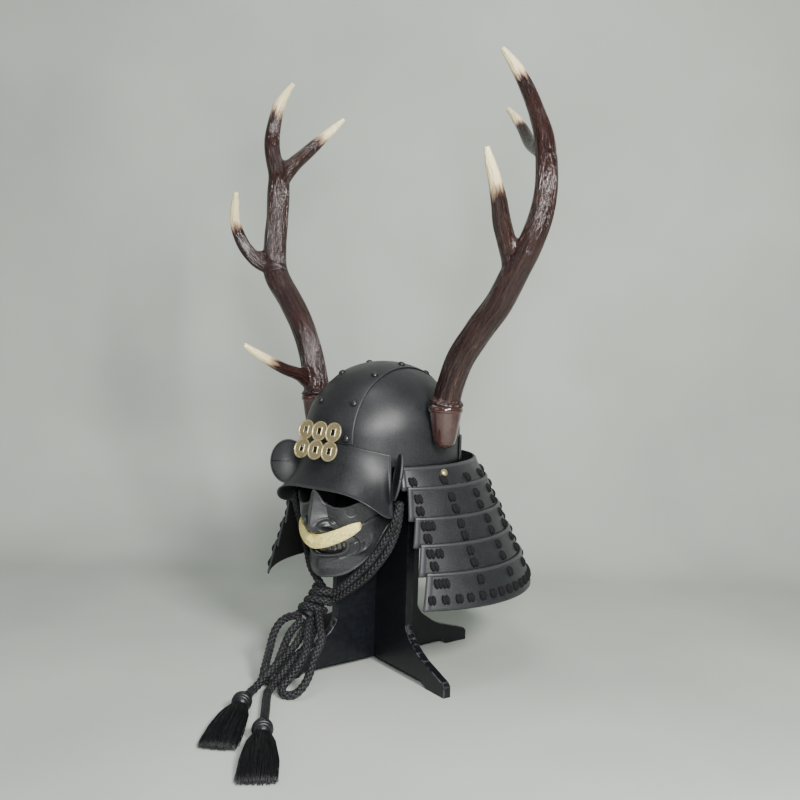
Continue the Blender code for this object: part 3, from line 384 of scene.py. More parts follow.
def tassel_chunks(points):
    start = np.array(points[-1])
    along = start - np.array(points[-2])
    along[2] = 0.0
    along /= np.linalg.norm(along)
    across = np.array([-along[1], along[0], 0.0])
    up = np.array([0.0, 0.0, 1.0])
    places = np.linspace(0.0, 1.0, 11)
    chunks = []
    turns = np.linspace(0.0, 2.0 * math.pi * 3.6, 200)
    swell = HEAD_RADIUS * (0.80 + 0.20 * np.sin(np.linspace(0.0, math.pi, 200)))
    lift = max(start[2], HEAD_RADIUS + 0.0032)
    middle = start + (lift - start[2]) * up
    coil = middle + along * np.linspace(0.001, HEAD_LENGTH, 200)[:, None]
    coil = coil + (across * np.cos(turns)[:, None] + up * np.sin(turns)[:, None]) * swell[:, None]
    chunks.append(tube(coil, 0.0028, 10))
    core = middle + along * np.linspace(0.0, HEAD_LENGTH + 0.002, 6)[:, None]
    chunks.append(tube(core, 0.0088, 14))
    for number in range(TASSEL_STRANDS):
        angle = random.uniform(0.0, 2.0 * math.pi)
        reach = math.sqrt(random.random())
        u = reach * math.cos(angle)
        v = reach * math.sin(angle)
        length = TASSEL_LENGTH * random.uniform(0.86, 1.0)
        first = random.uniform(0.10, 0.14)
        far = first + (1.0 - first) * places
        wide = TASSEL_HALF_WIDTH * np.interp(far, TASSEL_LINE[:, 0], TASSEL_LINE[:, 1])
        high = TASSEL_HALF_WIDTH * np.interp(far, TASSEL_LINE[:, 0], TASSEL_LINE[:, 2])
        sway = 0.0012 * np.sin(far * random.uniform(5.0, 9.0) + random.uniform(0.0, 6.3)) * places
        base = np.maximum(high, lift * (1.0 - 3.0 * far)) + 0.0007
        strand = start * [1.0, 1.0, 0.0] + along * (length * far)[:, None]
        strand = strand + across * (u * wide + sway)[:, None] + up * (base + v * high)[:, None]
        chunks.append(tube(strand, 0.00036, 3))
    return chunks


for label, points in (("right", RIGHT_TAIL), ("left", LEFT_TAIL)):
    build(
        label + "_silk_tassel", tassel_chunks(points), [label + "_tassel"], silk,
    )


# Bowl: one iron shell under satin black lacquer with the grain of fine sand.
SAND_GRAIN = 950.0
lacquer_group = bpy.data.node_groups.new("sanded_lacquer", "ShaderNodeTree")
for label, kind, way in (
    ("Dark", "NodeSocketColor", "INPUT"),
    ("Light", "NodeSocketColor", "INPUT"),
    ("Base Roughness", "NodeSocketFloat", "INPUT"),
    ("Color", "NodeSocketColor", "OUTPUT"),
    ("Roughness", "NodeSocketFloat", "OUTPUT"),
    ("Height", "NodeSocketFloat", "OUTPUT"),
):
    lacquer_group.interface.new_socket(name=label, in_out=way, socket_type=kind)
inside = lacquer_group.nodes.new("NodeGroupInput")
outside = lacquer_group.nodes.new("NodeGroupOutput")
spot = add_node(lacquer_group, "ShaderNodeTexCoord").outputs["Object"]
grain = add_node(lacquer_group, "ShaderNodeTexNoise", {"Vector": spot, "Scale": SAND_GRAIN, "Detail": 1.0})
cloud = add_node(lacquer_group, "ShaderNodeTexNoise", {"Vector": spot, "Scale": 38.0, "Detail": 4.0})
fleck = add_node(
    lacquer_group,
    "ShaderNodeMapRange",
    {"Value": grain.outputs["Fac"], "From Min": 0.42, "From Max": 0.72},
)
mixed = add_node(
    lacquer_group,
    "ShaderNodeMix",
    {0: fleck.outputs["Result"], 6: inside.outputs["Dark"], 7: inside.outputs["Light"]},
    data_type="RGBA",
)
lacquer_group.links.new(mixed.outputs[2], outside.inputs["Color"])
shift = add_node(
    lacquer_group,
    "ShaderNodeMapRange",
    {"Value": cloud.outputs["Fac"], "From Min": 0.3, "From Max": 0.7, "To Min": -0.05, "To Max": 0.06},
)
rough = add_node(
    lacquer_group,
    "ShaderNodeMath",
    {0: inside.outputs["Base Roughness"], 1: shift.outputs["Result"]},
    operation="ADD",
)
lacquer_group.links.new(rough.outputs[0], outside.inputs["Roughness"])
lacquer_group.links.new(grain.outputs["Fac"], outside.inputs["Height"])


def lacquer(name, dark, light, roughness, grain_depth, rub_and_highlight_tone=None):
    """Black lacquer; its edge layer makes rims lighter, partly as rubbed wear and partly as a painted
    highlight, and its shade layer paints insides and recesses near black as painted shade and leaves them
    dull.
    """
    shader, tree, surface = shader_tree(name, roughness, Specular_IOR_Level=0.5)
    group = tree.nodes.new("ShaderNodeGroup")
    group.node_tree = lacquer_group
    group.inputs["Dark"].default_value = (*dark, 1.0)
    group.inputs["Light"].default_value = (*light, 1.0)
    group.inputs["Base Roughness"].default_value = roughness
    colour = group.outputs["Color"]
    edge = add_node(tree, "ShaderNodeAttribute", attribute_name="edge")
    shade = add_node(tree, "ShaderNodeAttribute", attribute_name="painted_shade")
    # Rims weighted by the edge layer are mixed towards a lighter tone: partly rubbed wear, partly a painted
    # highlight along the rim.
    if rub_and_highlight_tone:
        worn_and_highlit = add_node(
            tree,
            "ShaderNodeMix",
            {0: edge.outputs["Fac"], 6: colour, 7: (*rub_and_highlight_tone, 1.0)},
            data_type="RGBA",
        )
        colour = worn_and_highlit.outputs[2]
    # Faces weighted by the shade layer are painted near black and made dull: painted shade inside shells and
    # in recesses.
    painted_deep_shade = add_node(
        tree,
        "ShaderNodeMix",
        {0: shade.outputs["Fac"], 6: colour, 7: (0.002, 0.002, 0.002, 1.0)},
        data_type="RGBA",
    )
    tree.links.new(painted_deep_shade.outputs[2], surface.inputs["Base Color"])
    dulled = add_node(
        tree, "ShaderNodeMix", {0: shade.outputs["Fac"], 2: group.outputs["Roughness"], 3: 0.90},
    )
    tree.links.new(dulled.outputs[0], surface.inputs["Roughness"])
    bump = add_node(
        tree, "ShaderNodeBump", {"Height": group.outputs["Height"], "Strength": 1.0, "Distance": grain_depth},
    )
    tree.links.new(bump.outputs["Normal"], surface.inputs["Normal"])
    return shader


BLACK = (0.0070, 0.0076, 0.0090)
BLACK_FLECK = (0.026, 0.028, 0.032)
iron = lacquer("satin_black_lacquer", BLACK, BLACK_FLECK, 0.44, 0.00016, (0.045, 0.047, 0.052))


def grid_faces(rows, cols):
    k = np.arange(rows * cols).reshape(rows, cols)
    return np.stack([k[:-1, :-1], k[1:, :-1], k[1:, 1:], k[:-1, 1:]], axis=-1).reshape(-1, 4)


def plate(outer, inner):
    """Closed plate between two grids of points, as one chunk."""
    rows, cols = outer.shape[:2]
    k = np.arange(rows * cols).reshape(rows, cols)
    loop = np.concatenate([k[0, :-1], k[:-1, -1], k[-1, :0:-1], k[:0:-1, 0]])
    ahead = np.roll(loop, -1)
    faces = grid_faces(rows, cols)
    rim = np.stack([loop, ahead, ahead + rows * cols, loop + rows * cols], axis=-1)
    quads = np.vstack([faces, faces[:, ::-1] + rows * cols, rim])
    return np.vstack([outer.reshape(-1, 3), inner.reshape(-1, 3)]), quads.tolist()


def rounding(distance, radius):
    """Fall of a surface near an edge that is rounded to a radius."""
    left = np.clip(radius - distance, 0.0, radius)
    return radius - np.sqrt(radius ** 2 - left ** 2)


def edge_steps(count, finest):
    """Values from 0 to 1, close together at both ends."""
    t = np.linspace(0.0, 1.0, count)
    middle = 0.5 - 0.5 * np.cos(math.pi * t)
    return finest * middle + (1.0 - finest) * t


def bowl_surface(turns, levels, out):
    """Bowl points for angles round and levels 0 at the rim, 1 at the spring of the dome, 2 at the top."""
    turn, level = np.meshgrid(turns, levels, indexing="ij")
    rise = math.pi / 2.0 * np.clip(level - 1.0, 0.0, 1.0)
    share = np.cos(rise)
    x = (BOWL_HALF_WIDTH + out) * share * np.sin(turn)
    y = BOWL_BACK_SET - (BOWL_HALF_LENGTH + out) * share * np.cos(turn)
    z = np.where(
        level < 1.0, RIM_HEIGHT + BOWL_SIDE * level, CROWN_HEIGHT + (BOWL_CROWN + out) * np.sin(rise),
    )
    return np.stack([x, y, z], axis=-1)


BOWL_WALL = 0.0024
turns = np.linspace(0.0, 2.0 * math.pi, 193)
levels = np.concatenate([[0.0, 0.01, 0.03], np.linspace(0.1, 1.0, 8), np.linspace(1.0, 1.999, 60)[1:]])
rim_fall = rounding(np.clip(levels, 0.0, 1.0) * BOWL_SIDE, 0.0010)[None, :]
outer = bowl_surface(turns, levels, -rim_fall)
inner = bowl_surface(turns, levels, -BOWL_WALL)
# The inner shell gets full weight in the shade layer, so the inside of the bowl is painted near black as
# shade.
inside = np.repeat([0.0, 1.0], outer.size // 3)
build("iron_bowl", [plate(outer, inner)], ["bowl"], iron, {"painted_shade": inside})


# Crown plate: a riveted iron plate from brow to nape, and its two rows of domed rivets.
CROWN_HALF_WIDTH = 0.0390
FRONT_START = RIM_HEIGHT + 0.0303
BACK_START = RIM_HEIGHT + 0.0343
RIVET_ROW = 0.0300
RIVET_RADIUS = 0.0050
RIVET_RISE = 0.0040


def crown_surface(side, along, out):
    """Points over the bowl: along runs 0 at the brow to 1 at the nape, side is a distance."""
    side, along, out = np.broadcast_arrays(side, along, out)
    width = np.sqrt(1.0 - (side / (BOWL_HALF_WIDTH + out)) ** 2)
    turn = math.pi * np.clip((along - 0.10) / 0.80, 0.0, 1.0)
    z = CROWN_HEIGHT + (BOWL_CROWN + out) * width * np.sin(turn)
    z = np.where(along < 0.10, FRONT_START + (CROWN_HEIGHT - FRONT_START) * along / 0.10, z)
    z = np.where(along > 0.90, BACK_START + (CROWN_HEIGHT - BACK_START) * (1.0 - along) / 0.10, z)
    y = BOWL_BACK_SET - (BOWL_HALF_LENGTH + out) * width * np.cos(turn)
    return np.stack([side, y, z], axis=-1)


along = edge_steps(160, 0.3)[:, None]
side = CROWN_HALF_WIDTH * (2.0 * edge_steps(40, 0.92)[None, :] - 1.0)
edge_gap = np.minimum(CROWN_HALF_WIDTH - np.abs(side), np.minimum(along, 1.0 - along) * 0.30)
fall = rounding(edge_gap, 0.0008)
outer = crown_surface(side, along, PLATE_OUT - fall)
inner = crown_surface(side, along, 0.0010 + 0.0 * fall)
# Lighter band along the plate's edges: partly rubbed wear, partly a painted highlight.
rubbed_and_highlit = np.exp(-edge_gap / 0.0012) * 0.5
build(
    "riveted_crown_plate",
    [plate(outer, inner)],
    ["crown_plate"],
    iron,
    {"edge": np.concatenate([rubbed_and_highlit.ravel(), rubbed_and_highlit.ravel()])},
)


def dome(spot, normal, radius, rise, count=20, lip=0.0):
    """Round-headed rivet as one chunk."""
    side = np.array(Vector(normal).orthogonal().normalized())
    up = np.cross(normal, side)
    shape = [(1.0 + lip, -0.12), (1.0 + lip, 0.10), (0.99, 0.22)]
    shape += [(math.cos(a), 0.22 + 0.78 * math.sin(a)) for a in np.linspace(0.15, 1.45, 7)]
    turns = 2.0 * math.pi * np.arange(count) / count
    circle = side * np.cos(turns)[:, None] + up * np.sin(turns)[:, None]
    rings = [spot + circle * radius * share + np.asarray(normal) * rise * height for share, height in shape]
    return np.vstack(rings), ring_faces(len(rings), count)


rivets = []
for number in range(6):
    for sign in (1.0, -1.0):
        place = 0.090 + 0.136 * number
        foot = crown_surface(sign * RIVET_ROW, place, PLATE_OUT)
        ahead = crown_surface(sign * RIVET_ROW, place + 0.01, PLATE_OUT) - foot
        across = crown_surface(sign * RIVET_ROW + 0.001, place, PLATE_OUT) - foot
        normal = np.cross(across, ahead)
        normal /= np.linalg.norm(normal)
        if normal[2] < -0.2:
            normal = -normal
        rivets.append(dome(foot, normal, RIVET_RADIUS, RIVET_RISE))
build(
    "crown_rivets",
    rivets,
    ["rivet_%s_%d" % (label, number) for label in ("left", "right") for number in range(1, 7)],
    lacquer("rivet_lacquer", BLACK, BLACK_FLECK, 0.30, 0.00003),
)

# Back band: the iron strip round the back of the bowl that the neck guard hangs from.
BAND_TURNS = (118.0, 242.0)
BAND_HEIGHT = 0.034
turns = np.linspace(math.radians(BAND_TURNS[0]), math.radians(BAND_TURNS[1]), 90)
levels = edge_steps(16, 0.9)
turn, level = np.meshgrid(turns, levels, indexing="ij")
gap = np.minimum(level, 1.0 - level) * BAND_HEIGHT


def band_surface(out):
    x = (BOWL_HALF_WIDTH + out) * np.sin(turn)
    y = BOWL_BACK_SET - (BOWL_HALF_LENGTH + out) * np.cos(turn)
    return np.stack([x, y, RIM_HEIGHT + BAND_HEIGHT * level], axis=-1)


outer = band_surface(0.0034 - rounding(gap, 0.0012))
inner = band_surface(0.0010 + 0.0 * gap)
build("nape_band", [plate(outer, inner)], ["back_band"], iron)

# Visor: an iron peak riveted to the brow, flaring and dropping at its ends, with a rolled lip.
VISOR_HALF_TURN = math.radians(46.5)
VISOR_TOP = 0.030
VISOR_TOP_FALL = 0.013
VISOR_REACH = 0.0300
VISOR_SWELL = 0.67
VISOR_END_PINCH = 1.10
VISOR_DROP = 0.0310
VISOR_END_DROP = 0.0460
VISOR_CORNER = 0.016
VISOR_THICKNESS = 0.0022
share, down = np.meshgrid(2.0 * edge_steps(170, 0.6) - 1.0, edge_steps(64, 0.75), indexing="ij")


def visor_surface(out):
    top = RIM_HEIGHT + VISOR_TOP - VISOR_TOP_FALL * share ** 2
    low = RIM_HEIGHT - VISOR_DROP - VISOR_END_DROP * np.abs(share) ** 3.6
    corner = VISOR_CORNER / 0.10
    past = np.clip(np.abs(share) - 1.0 + corner, 0.0, corner) / corner
    low = low + VISOR_CORNER * (1.0 - np.sqrt(1.0 - past ** 2))
    reach = VISOR_REACH * (1.0 + VISOR_SWELL * share ** 2 - VISOR_END_PINCH * share ** 8) * down ** 2.1
    turn = (share + 0.040 * np.sign(share) * np.abs(share) ** 9) * VISOR_HALF_TURN
    x = (BOWL_HALF_WIDTH + out + reach) * np.sin(turn)
    y = BOWL_BACK_SET - (BOWL_HALF_LENGTH + out + reach) * np.cos(turn)
    return np.stack([x, y, top + (low - top) * down], axis=-1)


lip_gap = (1.0 - down) * 0.075
end_gap = (1.0 - np.abs(share)) * 0.10
gap = np.minimum(np.minimum(lip_gap, down * 0.06), end_gap)
roll = 0.0012 * np.exp(-(((np.minimum(lip_gap, end_gap) - 0.0018) / 0.0013) ** 2))
outer = visor_surface(0.0003 + VISOR_THICKNESS + roll - rounding(gap, 0.0015))
inner = visor_surface(0.0003 - 0.3 * roll)
# Lighter lip and ends: partly rubbed wear, partly a painted highlight along the rim.
rubbed_and_highlit = np.exp(-np.minimum(lip_gap, end_gap) / 0.0016)
build(
    "rolled_visor",
    [plate(outer, inner)],
    ["visor"],
    iron,
    {"edge": np.concatenate([rubbed_and_highlit.ravel(), rubbed_and_highlit.ravel()])},
)

# Ear plates: dished iron discs with a rolled rim, turned back from the ends of the visor.
EAR_HALF_WIDTH = 0.0260
EAR_HALF_HEIGHT = 0.0325
EAR_DISH = 0.0060
EAR_FACING = math.radians(44.0)
EAR_LEAN = math.radians(8.0)
EAR_OUT = 0.0997
EAR_FORE = 0.0920
EAR_DROP = 0.0090


def outside_bowl(spots, clear):
    """Points inside the bowl moved out to its skin."""
    x = spots[..., 0]
    y = spots[..., 1] - BOWL_BACK_SET
    rise = np.clip((spots[..., 2] - CROWN_HEIGHT) / (BOWL_CROWN + clear), 0.0, 0.99)
    size = np.sqrt(1.0 - rise ** 2)
    span = np.hypot(x / ((BOWL_HALF_WIDTH + clear) * size), y / ((BOWL_HALF_LENGTH + clear) * size))
    push = np.where(span < 1.0, 1.0 / np.maximum(span, 0.2), 1.0)
    moved = spots.copy()
    moved[..., 0] = x * push
    moved[..., 1] = y * push + BOWL_BACK_SET
    return moved


for label, sign in (("left", 1.0), ("right", -1.0)):
    facing = np.array([-sign * math.sin(EAR_FACING), -math.cos(EAR_FACING), 0.0])
    across = np.array([sign * math.cos(EAR_FACING), -math.sin(EAR_FACING), 0.0])
    up = np.array([0.0, 0.0, 1.0])
    upright = up * math.cos(EAR_LEAN) - facing * math.sin(EAR_LEAN)
    face = facing * math.cos(EAR_LEAN) + up * math.sin(EAR_LEAN)
    centre = np.array([sign * EAR_OUT, -EAR_FORE, RIM_HEIGHT - EAR_DROP])
    reach = np.concatenate([np.linspace(0.01, 0.86, 22), np.linspace(0.88, 1.0, 16)])
    around = np.linspace(0.0, 2.0 * math.pi, 97)
    radius, angle = np.meshgrid(reach, around, indexing="ij")
    flat = centre + across * (EAR_HALF_WIDTH * radius * np.cos(angle))[..., None]
    flat = flat + upright * (EAR_HALF_HEIGHT * radius * np.sin(angle))[..., None]
    rim_gap = (1.0 - radius) * 0.029
    bead = 0.0010 * np.exp(-(((rim_gap - 0.0014) / 0.0011) ** 2)) - rounding(rim_gap, 0.0014)
    depth = EAR_DISH * (radius ** 2 - 1.0)
    front = outside_bowl(flat + face * (depth + bead)[..., None], 0.0006)
    back = outside_bowl(flat + face * (depth - 0.0020)[..., None], 0.0006)
    # Lighter rolled rim: partly rubbed wear, partly a painted highlight along the rim.
    rubbed_and_highlit = np.exp(-rim_gap / 0.0018)
    build(
        label + "_dished_ear_plate",
        [plate(front, back)],
        [label + "_ear_plate"],
        iron,
        {"edge": np.concatenate([rubbed_and_highlit.ravel(), rubbed_and_highlit.ravel()])},
    )

# Neck guard: five flared iron lames, each with a beaded top edge and a folded front edge.
GUARD_HALF_WIDTH = 0.200
GUARD_DROP = 0.186
GUARD_OUTLINE = np.array((
    (-0.005, 0.5765, 0.733, 0.1175),
    (0.134, 0.675, 0.775, 0.140),
    (0.350, 0.760, 0.830, 0.185),
    (0.538, 0.830, 0.885, 0.220),
    (0.737, 0.915, 0.955, 0.255),
    (1.000, 1.000, 1.010, 0.280),
))
LAME_THICKNESS = 0.0024
LAME_GAP = 0.0010
LAME_LAP = 0.0060
LAME_BEAD = 0.0014
LAME_FRONT_TURN = math.radians(50.0)
LAME_RAKE = math.radians(3.6)
FOLD_WIDTH = 0.0048


def guard_surface(turn, drop, out):
    """Points of the neck guard at a drop below the rim, pushed out level."""
    wide, long, back = (
        np.interp(drop / GUARD_DROP, GUARD_OUTLINE[:, 0], GUARD_OUTLINE[:, k]) for k in (1, 2, 3)
    )
    x = (GUARD_HALF_WIDTH * wide + out) * np.sin(turn)
    y = GUARD_HALF_WIDTH * back - (GUARD_HALF_WIDTH * long + out) * np.cos(turn)
    return np.stack(np.broadcast_arrays(x, y, RIM_HEIGHT - drop), axis=-1)


lame_iron = lacquer(
    "lame_lacquer", (0.0080, 0.0087, 0.0102), (0.032, 0.034, 0.039), 0.42, 0.00016, (0.055, 0.058, 0.064),
)
for number in range(5):
    top = GUARD_OUTLINE[number, 0] * GUARD_DROP
    low = GUARD_OUTLINE[number + 1, 0] * GUARD_DROP
    last = number == 4
    tuck_depth = 0.0 if last else LAME_THICKNESS + LAME_GAP
    steps = edge_steps(250, 0.55)[:, None]
    drops = np.concatenate([np.linspace(top, top + 0.006, 14), np.linspace(top + 0.0065, low, 22)])
    if not last:
        drops = np.concatenate([drops, [low + LAME_LAP * 0.5, low + LAME_LAP]])
    drops = drops[None, :]
    fall = (drops - drops[0, 0]) / (drops[0, -1] - drops[0, 0])
    front = LAME_FRONT_TURN - LAME_RAKE * fall
    turn = front + (2.0 * math.pi - 2.0 * front) * steps
    tuck = tuck_depth * np.clip((drops - top - 0.0044) / (low - top - 0.0044), 0.0, 1.0)
    if not last:
        wide_low, wide_end = (
            np.interp(v / GUARD_DROP, GUARD_OUTLINE[:, 0], GUARD_OUTLINE[:, 1]) for v in (low, low + LAME_LAP)
        )
        past = np.clip((drops - low) / LAME_LAP, 0.0, 1.0)
        tuck = tuck + 0.5 * past * (wide_end - wide_low) * GUARD_HALF_WIDTH
    from_top = drops - top
    bead = LAME_BEAD * np.clip(1.0 - ((from_top - 0.0020) / 0.0022) ** 2, 0.0, 1.0) ** 0.5
    edge_gap = np.minimum(steps, 1.0 - steps) * 0.50
    fold = 0.0011 * np.clip(1.0 - ((edge_gap - 0.5 * FOLD_WIDTH) / (0.5 * FOLD_WIDTH)) ** 4, 0.0, 1.0) ** 0.5
    low_gap = (drops[0, -1] - drops) + 0.0 * steps
    raised = np.maximum(bead + 0.0 * steps, fold + 0.0 * drops)
    fall_off = rounding(np.minimum(edge_gap + 0.0 * drops, low_gap), 0.0009)
    outer = guard_surface(turn, drops, raised - tuck - fall_off)
    inner = guard_surface(turn, drops, -tuck - LAME_THICKNESS)
    # Lighter bead crest and folded front edges: partly rubbed wear, partly a painted highlight.
    rubbed_and_highlit = np.clip(np.exp(-((from_top / 0.0022 - 0.9) ** 2)) * 0.55 + 0.0 * steps, 0.0, 1.0)
    rubbed_and_highlit = np.maximum(rubbed_and_highlit, 0.75 * np.exp(-edge_gap / FOLD_WIDTH) + 0.0 * drops)
    build(
        "beaded_lame_%d" % (number + 1),
        [plate(outer, inner)],
        ["lame_%d" % (number + 1)],
        lame_iron,
        {
            "edge": np.concatenate([rubbed_and_highlit.ravel(), rubbed_and_highlit.ravel() * 0.0]),
            # The inner faces are painted near black as shade.
            "painted_shade": np.repeat([0.0, 1.0], rubbed_and_highlit.size),
        },
    )

# Lacing knots: black braid drawn through the lames, in pairs above and below, and a close row at the hem.
LACE_HALF_HEIGHT = 0.0072
LACE_HALF_WIDTH = 0.0042
column_turns = [54.0, 74.0, 94.5, 114.0, 134.0, 157.0]
column_turns += [180.0] + [360.0 - angle for angle in reversed(column_turns)]
LACE_ROWS = {
    0: (0.76,),
    1: (0.40, 0.80),
    2: (0.33, 0.80),
    3: (0.34, 0.78),
    4: (0.28,),
}
HEM_SHARE = 0.71
HEM_TURNS = np.linspace(50.5, 309.5, 47)


def lace_stitch(centre, along, across, normal, half_height, half_width):
    """One drawn stitch: two plump leaning lobes of braid."""
    chunks = []
    lean = random.uniform(-0.12, 0.12)
    places = np.linspace(-1.0, 1.0, 15)
    for shift in (-0.42, 0.42):
        spine = centre + along * (places * half_height)[:, None]
        spine = spine + across * (half_width * (shift * 1.5 + lean * places))[:, None]
        lift = 0.0012 * (1.0 - places ** 2) + 0.0002
        spine = spine + normal * lift[:, None]
        radii = half_width * 0.95 * np.sqrt(np.clip(1.02 - places ** 2, 0.02, 1.0))
        notch = 1.0 - 0.18 * np.cos(places * 6.2 + 3.0 * shift) ** 2
        axes = (np.tile(across, (15, 1)), np.tile(normal, (15, 1)))
        chunks.append(tube(spine, radii * notch, 8, 0.80, axes))
    return chunks


stitches = []
for number, rows in LACE_ROWS.items():
    top = GUARD_OUTLINE[number, 0] * GUARD_DROP
    low = GUARD_OUTLINE[number + 1, 0] * GUARD_DROP
    places = [(angle, share, 1.0) for share in rows for angle in column_turns]
    if number == 4:
        places += [(angle, HEM_SHARE, 0.94) for angle in HEM_TURNS]
    if number > 1:
        places += [(angle, rows[0], 1.0) for angle in (57.6, 302.4)]
    for angle, share, size in places:
        turn = math.radians(angle + random.uniform(-0.4, 0.4))
        drop = top + (low - top) * share
        tuck = 0.0 if number == 4 else (LAME_THICKNESS + LAME_GAP) * share
        spot = guard_surface(turn, drop, -tuck)
        down = guard_surface(turn, drop + 0.002, -tuck) - spot
        side = guard_surface(turn + 0.01, drop, -tuck) - spot
        down /= np.linalg.norm(down)
        side /= np.linalg.norm(side)
        normal = np.cross(down, side)
        if normal.dot(spot - np.array([0.0, 0.03, spot[2]])) < 0.0:
            normal = -normal
        stitches += lace_stitch(spot, down, side, normal, LACE_HALF_HEIGHT * size, LACE_HALF_WIDTH * size)
lace_shader, tree, surface = shader_tree("lacing_braid", 0.80, Specular_IOR_Level=0.25)
spot = add_node(tree, "ShaderNodeTexCoord").outputs["Object"]
weave = add_node(tree, "ShaderNodeTexVoronoi", {"Vector": spot, "Scale": 1100.0})
tint = colour_ramp(
    tree, weave.outputs["Distance"], [(0.1, (0.012, 0.012, 0.014)), (0.8, (0.003, 0.003, 0.004))],
)
tree.links.new(tint, surface.inputs["Base Color"])
bumpy = add_node(
    tree,
    "ShaderNodeBump",
    {"Height": weave.outputs["Distance"], "Strength": 0.8, "Distance": 0.0006},
    invert=True,
)
tree.links.new(bumpy.outputs["Normal"], surface.inputs["Normal"])
build("lacing_stitches", stitches, [], lace_shader)

# Side rivets: a brass stud near the front of the top lame on each side.
STUD_RADIUS = 0.0055
STUD_RISE = 0.0040
STUD_TURN = math.radians(77.0)
# Near black painted into the coins' holes and backs as shade.
PAINTED_HOLE_SHADE = (0.004, 0.0035, 0.003, 1.0)
brass, tree, surface = shader_tree("aged_brass_metal", 0.42, 0.85)
spot = add_node(tree, "ShaderNodeTexCoord").outputs["Object"]
stain = add_node(
    tree, "ShaderNodeTexNoise", {"Vector": spot, "Scale": 170.0, "Detail": 5.0, "Roughness": 0.65},
)
tint = colour_ramp(
    tree,
    stain.outputs["Fac"],
    [(0.32, (0.33, 0.26, 0.12)), (0.47, (0.60, 0.50, 0.27)), (0.70, (0.82, 0.74, 0.48))],
)
recess = add_node(tree, "ShaderNodeAttribute", attribute_name="recess").outputs["Fac"]
toned = add_node(tree, "ShaderNodeMix", {0: recess, 6: tint, 7: (0.47, 0.40, 0.215, 1.0)}, data_type="RGBA")
# Where the recess layer exceeds 1 the brass is painted near black as shade: hole walls and coin backs.
painted_deep_shade = add_node(tree, "ShaderNodeMath", {0: recess, 1: 1.0}, operation="SUBTRACT", use_clamp=True)
holed = add_node(
    tree, "ShaderNodeMix", {0: painted_deep_shade.outputs[0], 6: toned.outputs[2], 7: PAINTED_HOLE_SHADE}, data_type="RGBA",
)
tree.links.new(holed.outputs[2], surface.inputs["Base Color"])
gleam = add_node(tree, "ShaderNodeMapRange", {"Value": stain.outputs["Fac"], "To Min": 0.55, "To Max": 0.26})
tree.links.new(gleam.outputs["Result"], surface.inputs["Roughness"])
pits = add_node(tree, "ShaderNodeTexNoise", {"Vector": spot, "Scale": 700.0, "Detail": 3.0})
bump = add_node(tree, "ShaderNodeBump", {"Height": pits.outputs["Fac"], "Strength": 0.35, "Distance": 0.0003})
tree.links.new(bump.outputs["Normal"], surface.inputs["Normal"])
drop = GUARD_OUTLINE[0, 0] * GUARD_DROP + 0.40 * (GUARD_OUTLINE[1, 0] - GUARD_OUTLINE[0, 0]) * GUARD_DROP
for label, sign in (("left", 1.0), ("right", -1.0)):
    turn = sign * STUD_TURN
    foot = guard_surface(turn, drop, -0.0012)
    ahead = guard_surface(turn, drop + 0.002, 0.0) - guard_surface(turn, drop, 0.0)
    round_way = guard_surface(turn + 0.01, drop, 0.0) - guard_surface(turn, drop, 0.0)
    normal = np.cross(ahead, round_way)
    normal *= math.copysign(1.0, normal[0] * sign) / np.linalg.norm(normal)
    build(
        label + "_brass_stud",
        [dome(foot, normal, STUD_RADIUS, STUD_RISE, 28)],
        [label + "_side_rivet"],
        brass,
    )

# Antlers: glossy red-brown stag horn with lengthwise ridges and pale tips, each on a beaded burr.
ANTLER_RISE = 0.480
ANTLER_SPREAD = 0.147
ANTLER_REACH = 0.130
BEAM_RADIUS = 0.0185
ANTLER_OUT = 0.119
ANTLER_FORE = 0.010
ANTLER_BASE = RIM_HEIGHT + 0.0840
BURR = np.array(((0.0, 0.66), (0.0022, 0.93), (0.0055, 1.0), (0.0090, 0.88), (0.0115, 0.70)))
BURR_RADIUS = 0.0245
PALE_TIP = 0.052
WEB_REACH = 0.040
WEB_PULL_INSIDE = 0.22
WEB_PULL_OUTSIDE = 0.62
LEFT_BEAM = (
    (0.000, 0.000, 0.000, 1.00),
    (0.060, 0.054, 0.015, 1.00),
    (0.142, 0.177, 0.038, 1.00),
    (0.221, 0.374, 0.062, 1.00),
    (0.298, 0.585, 0.077, 0.98),
    (0.379, 0.741, 0.092, 0.98),
    (0.450, 0.878, 0.092, 0.90),
    (0.523, 0.966, 0.077, 0.84),
    (0.594, 1.000, 0.062, 0.80),
    (0.667, 0.980, 0.031, 0.78),
    (0.742, 0.925, 0.000, 0.70),
    (0.810, 0.830, -0.031, 0.58),
    (0.873, 0.728, -0.046, 0.53),
    (0.938, 0.592, -0.062, 0.44),
    (0.996, 0.435, -0.077, 0.20),
)
LEFT_FORE_TINE = (
    (0.388, 0.728, 0.092, 0.66),
    (0.435, 0.707, 0.154, 0.68),
    (0.506, 0.687, 0.269, 0.64),
    (0.560, 0.701, 0.369, 0.55),
    (0.619, 0.701, 0.477, 0.45),
    (0.658, 0.694, 0.554, 0.36),
    (0.692, 0.687, 0.608, 0.20),
)
LEFT_BACK_TINE = (
    (0.690, 0.970, 0.020, 0.53),
    (0.738, 0.687, -0.231, 0.47),
    (0.794, 0.497, -0.423, 0.41),
    (0.833, 0.361, -0.538, 0.34),
    (0.871, 0.211, -0.654, 0.20),
)
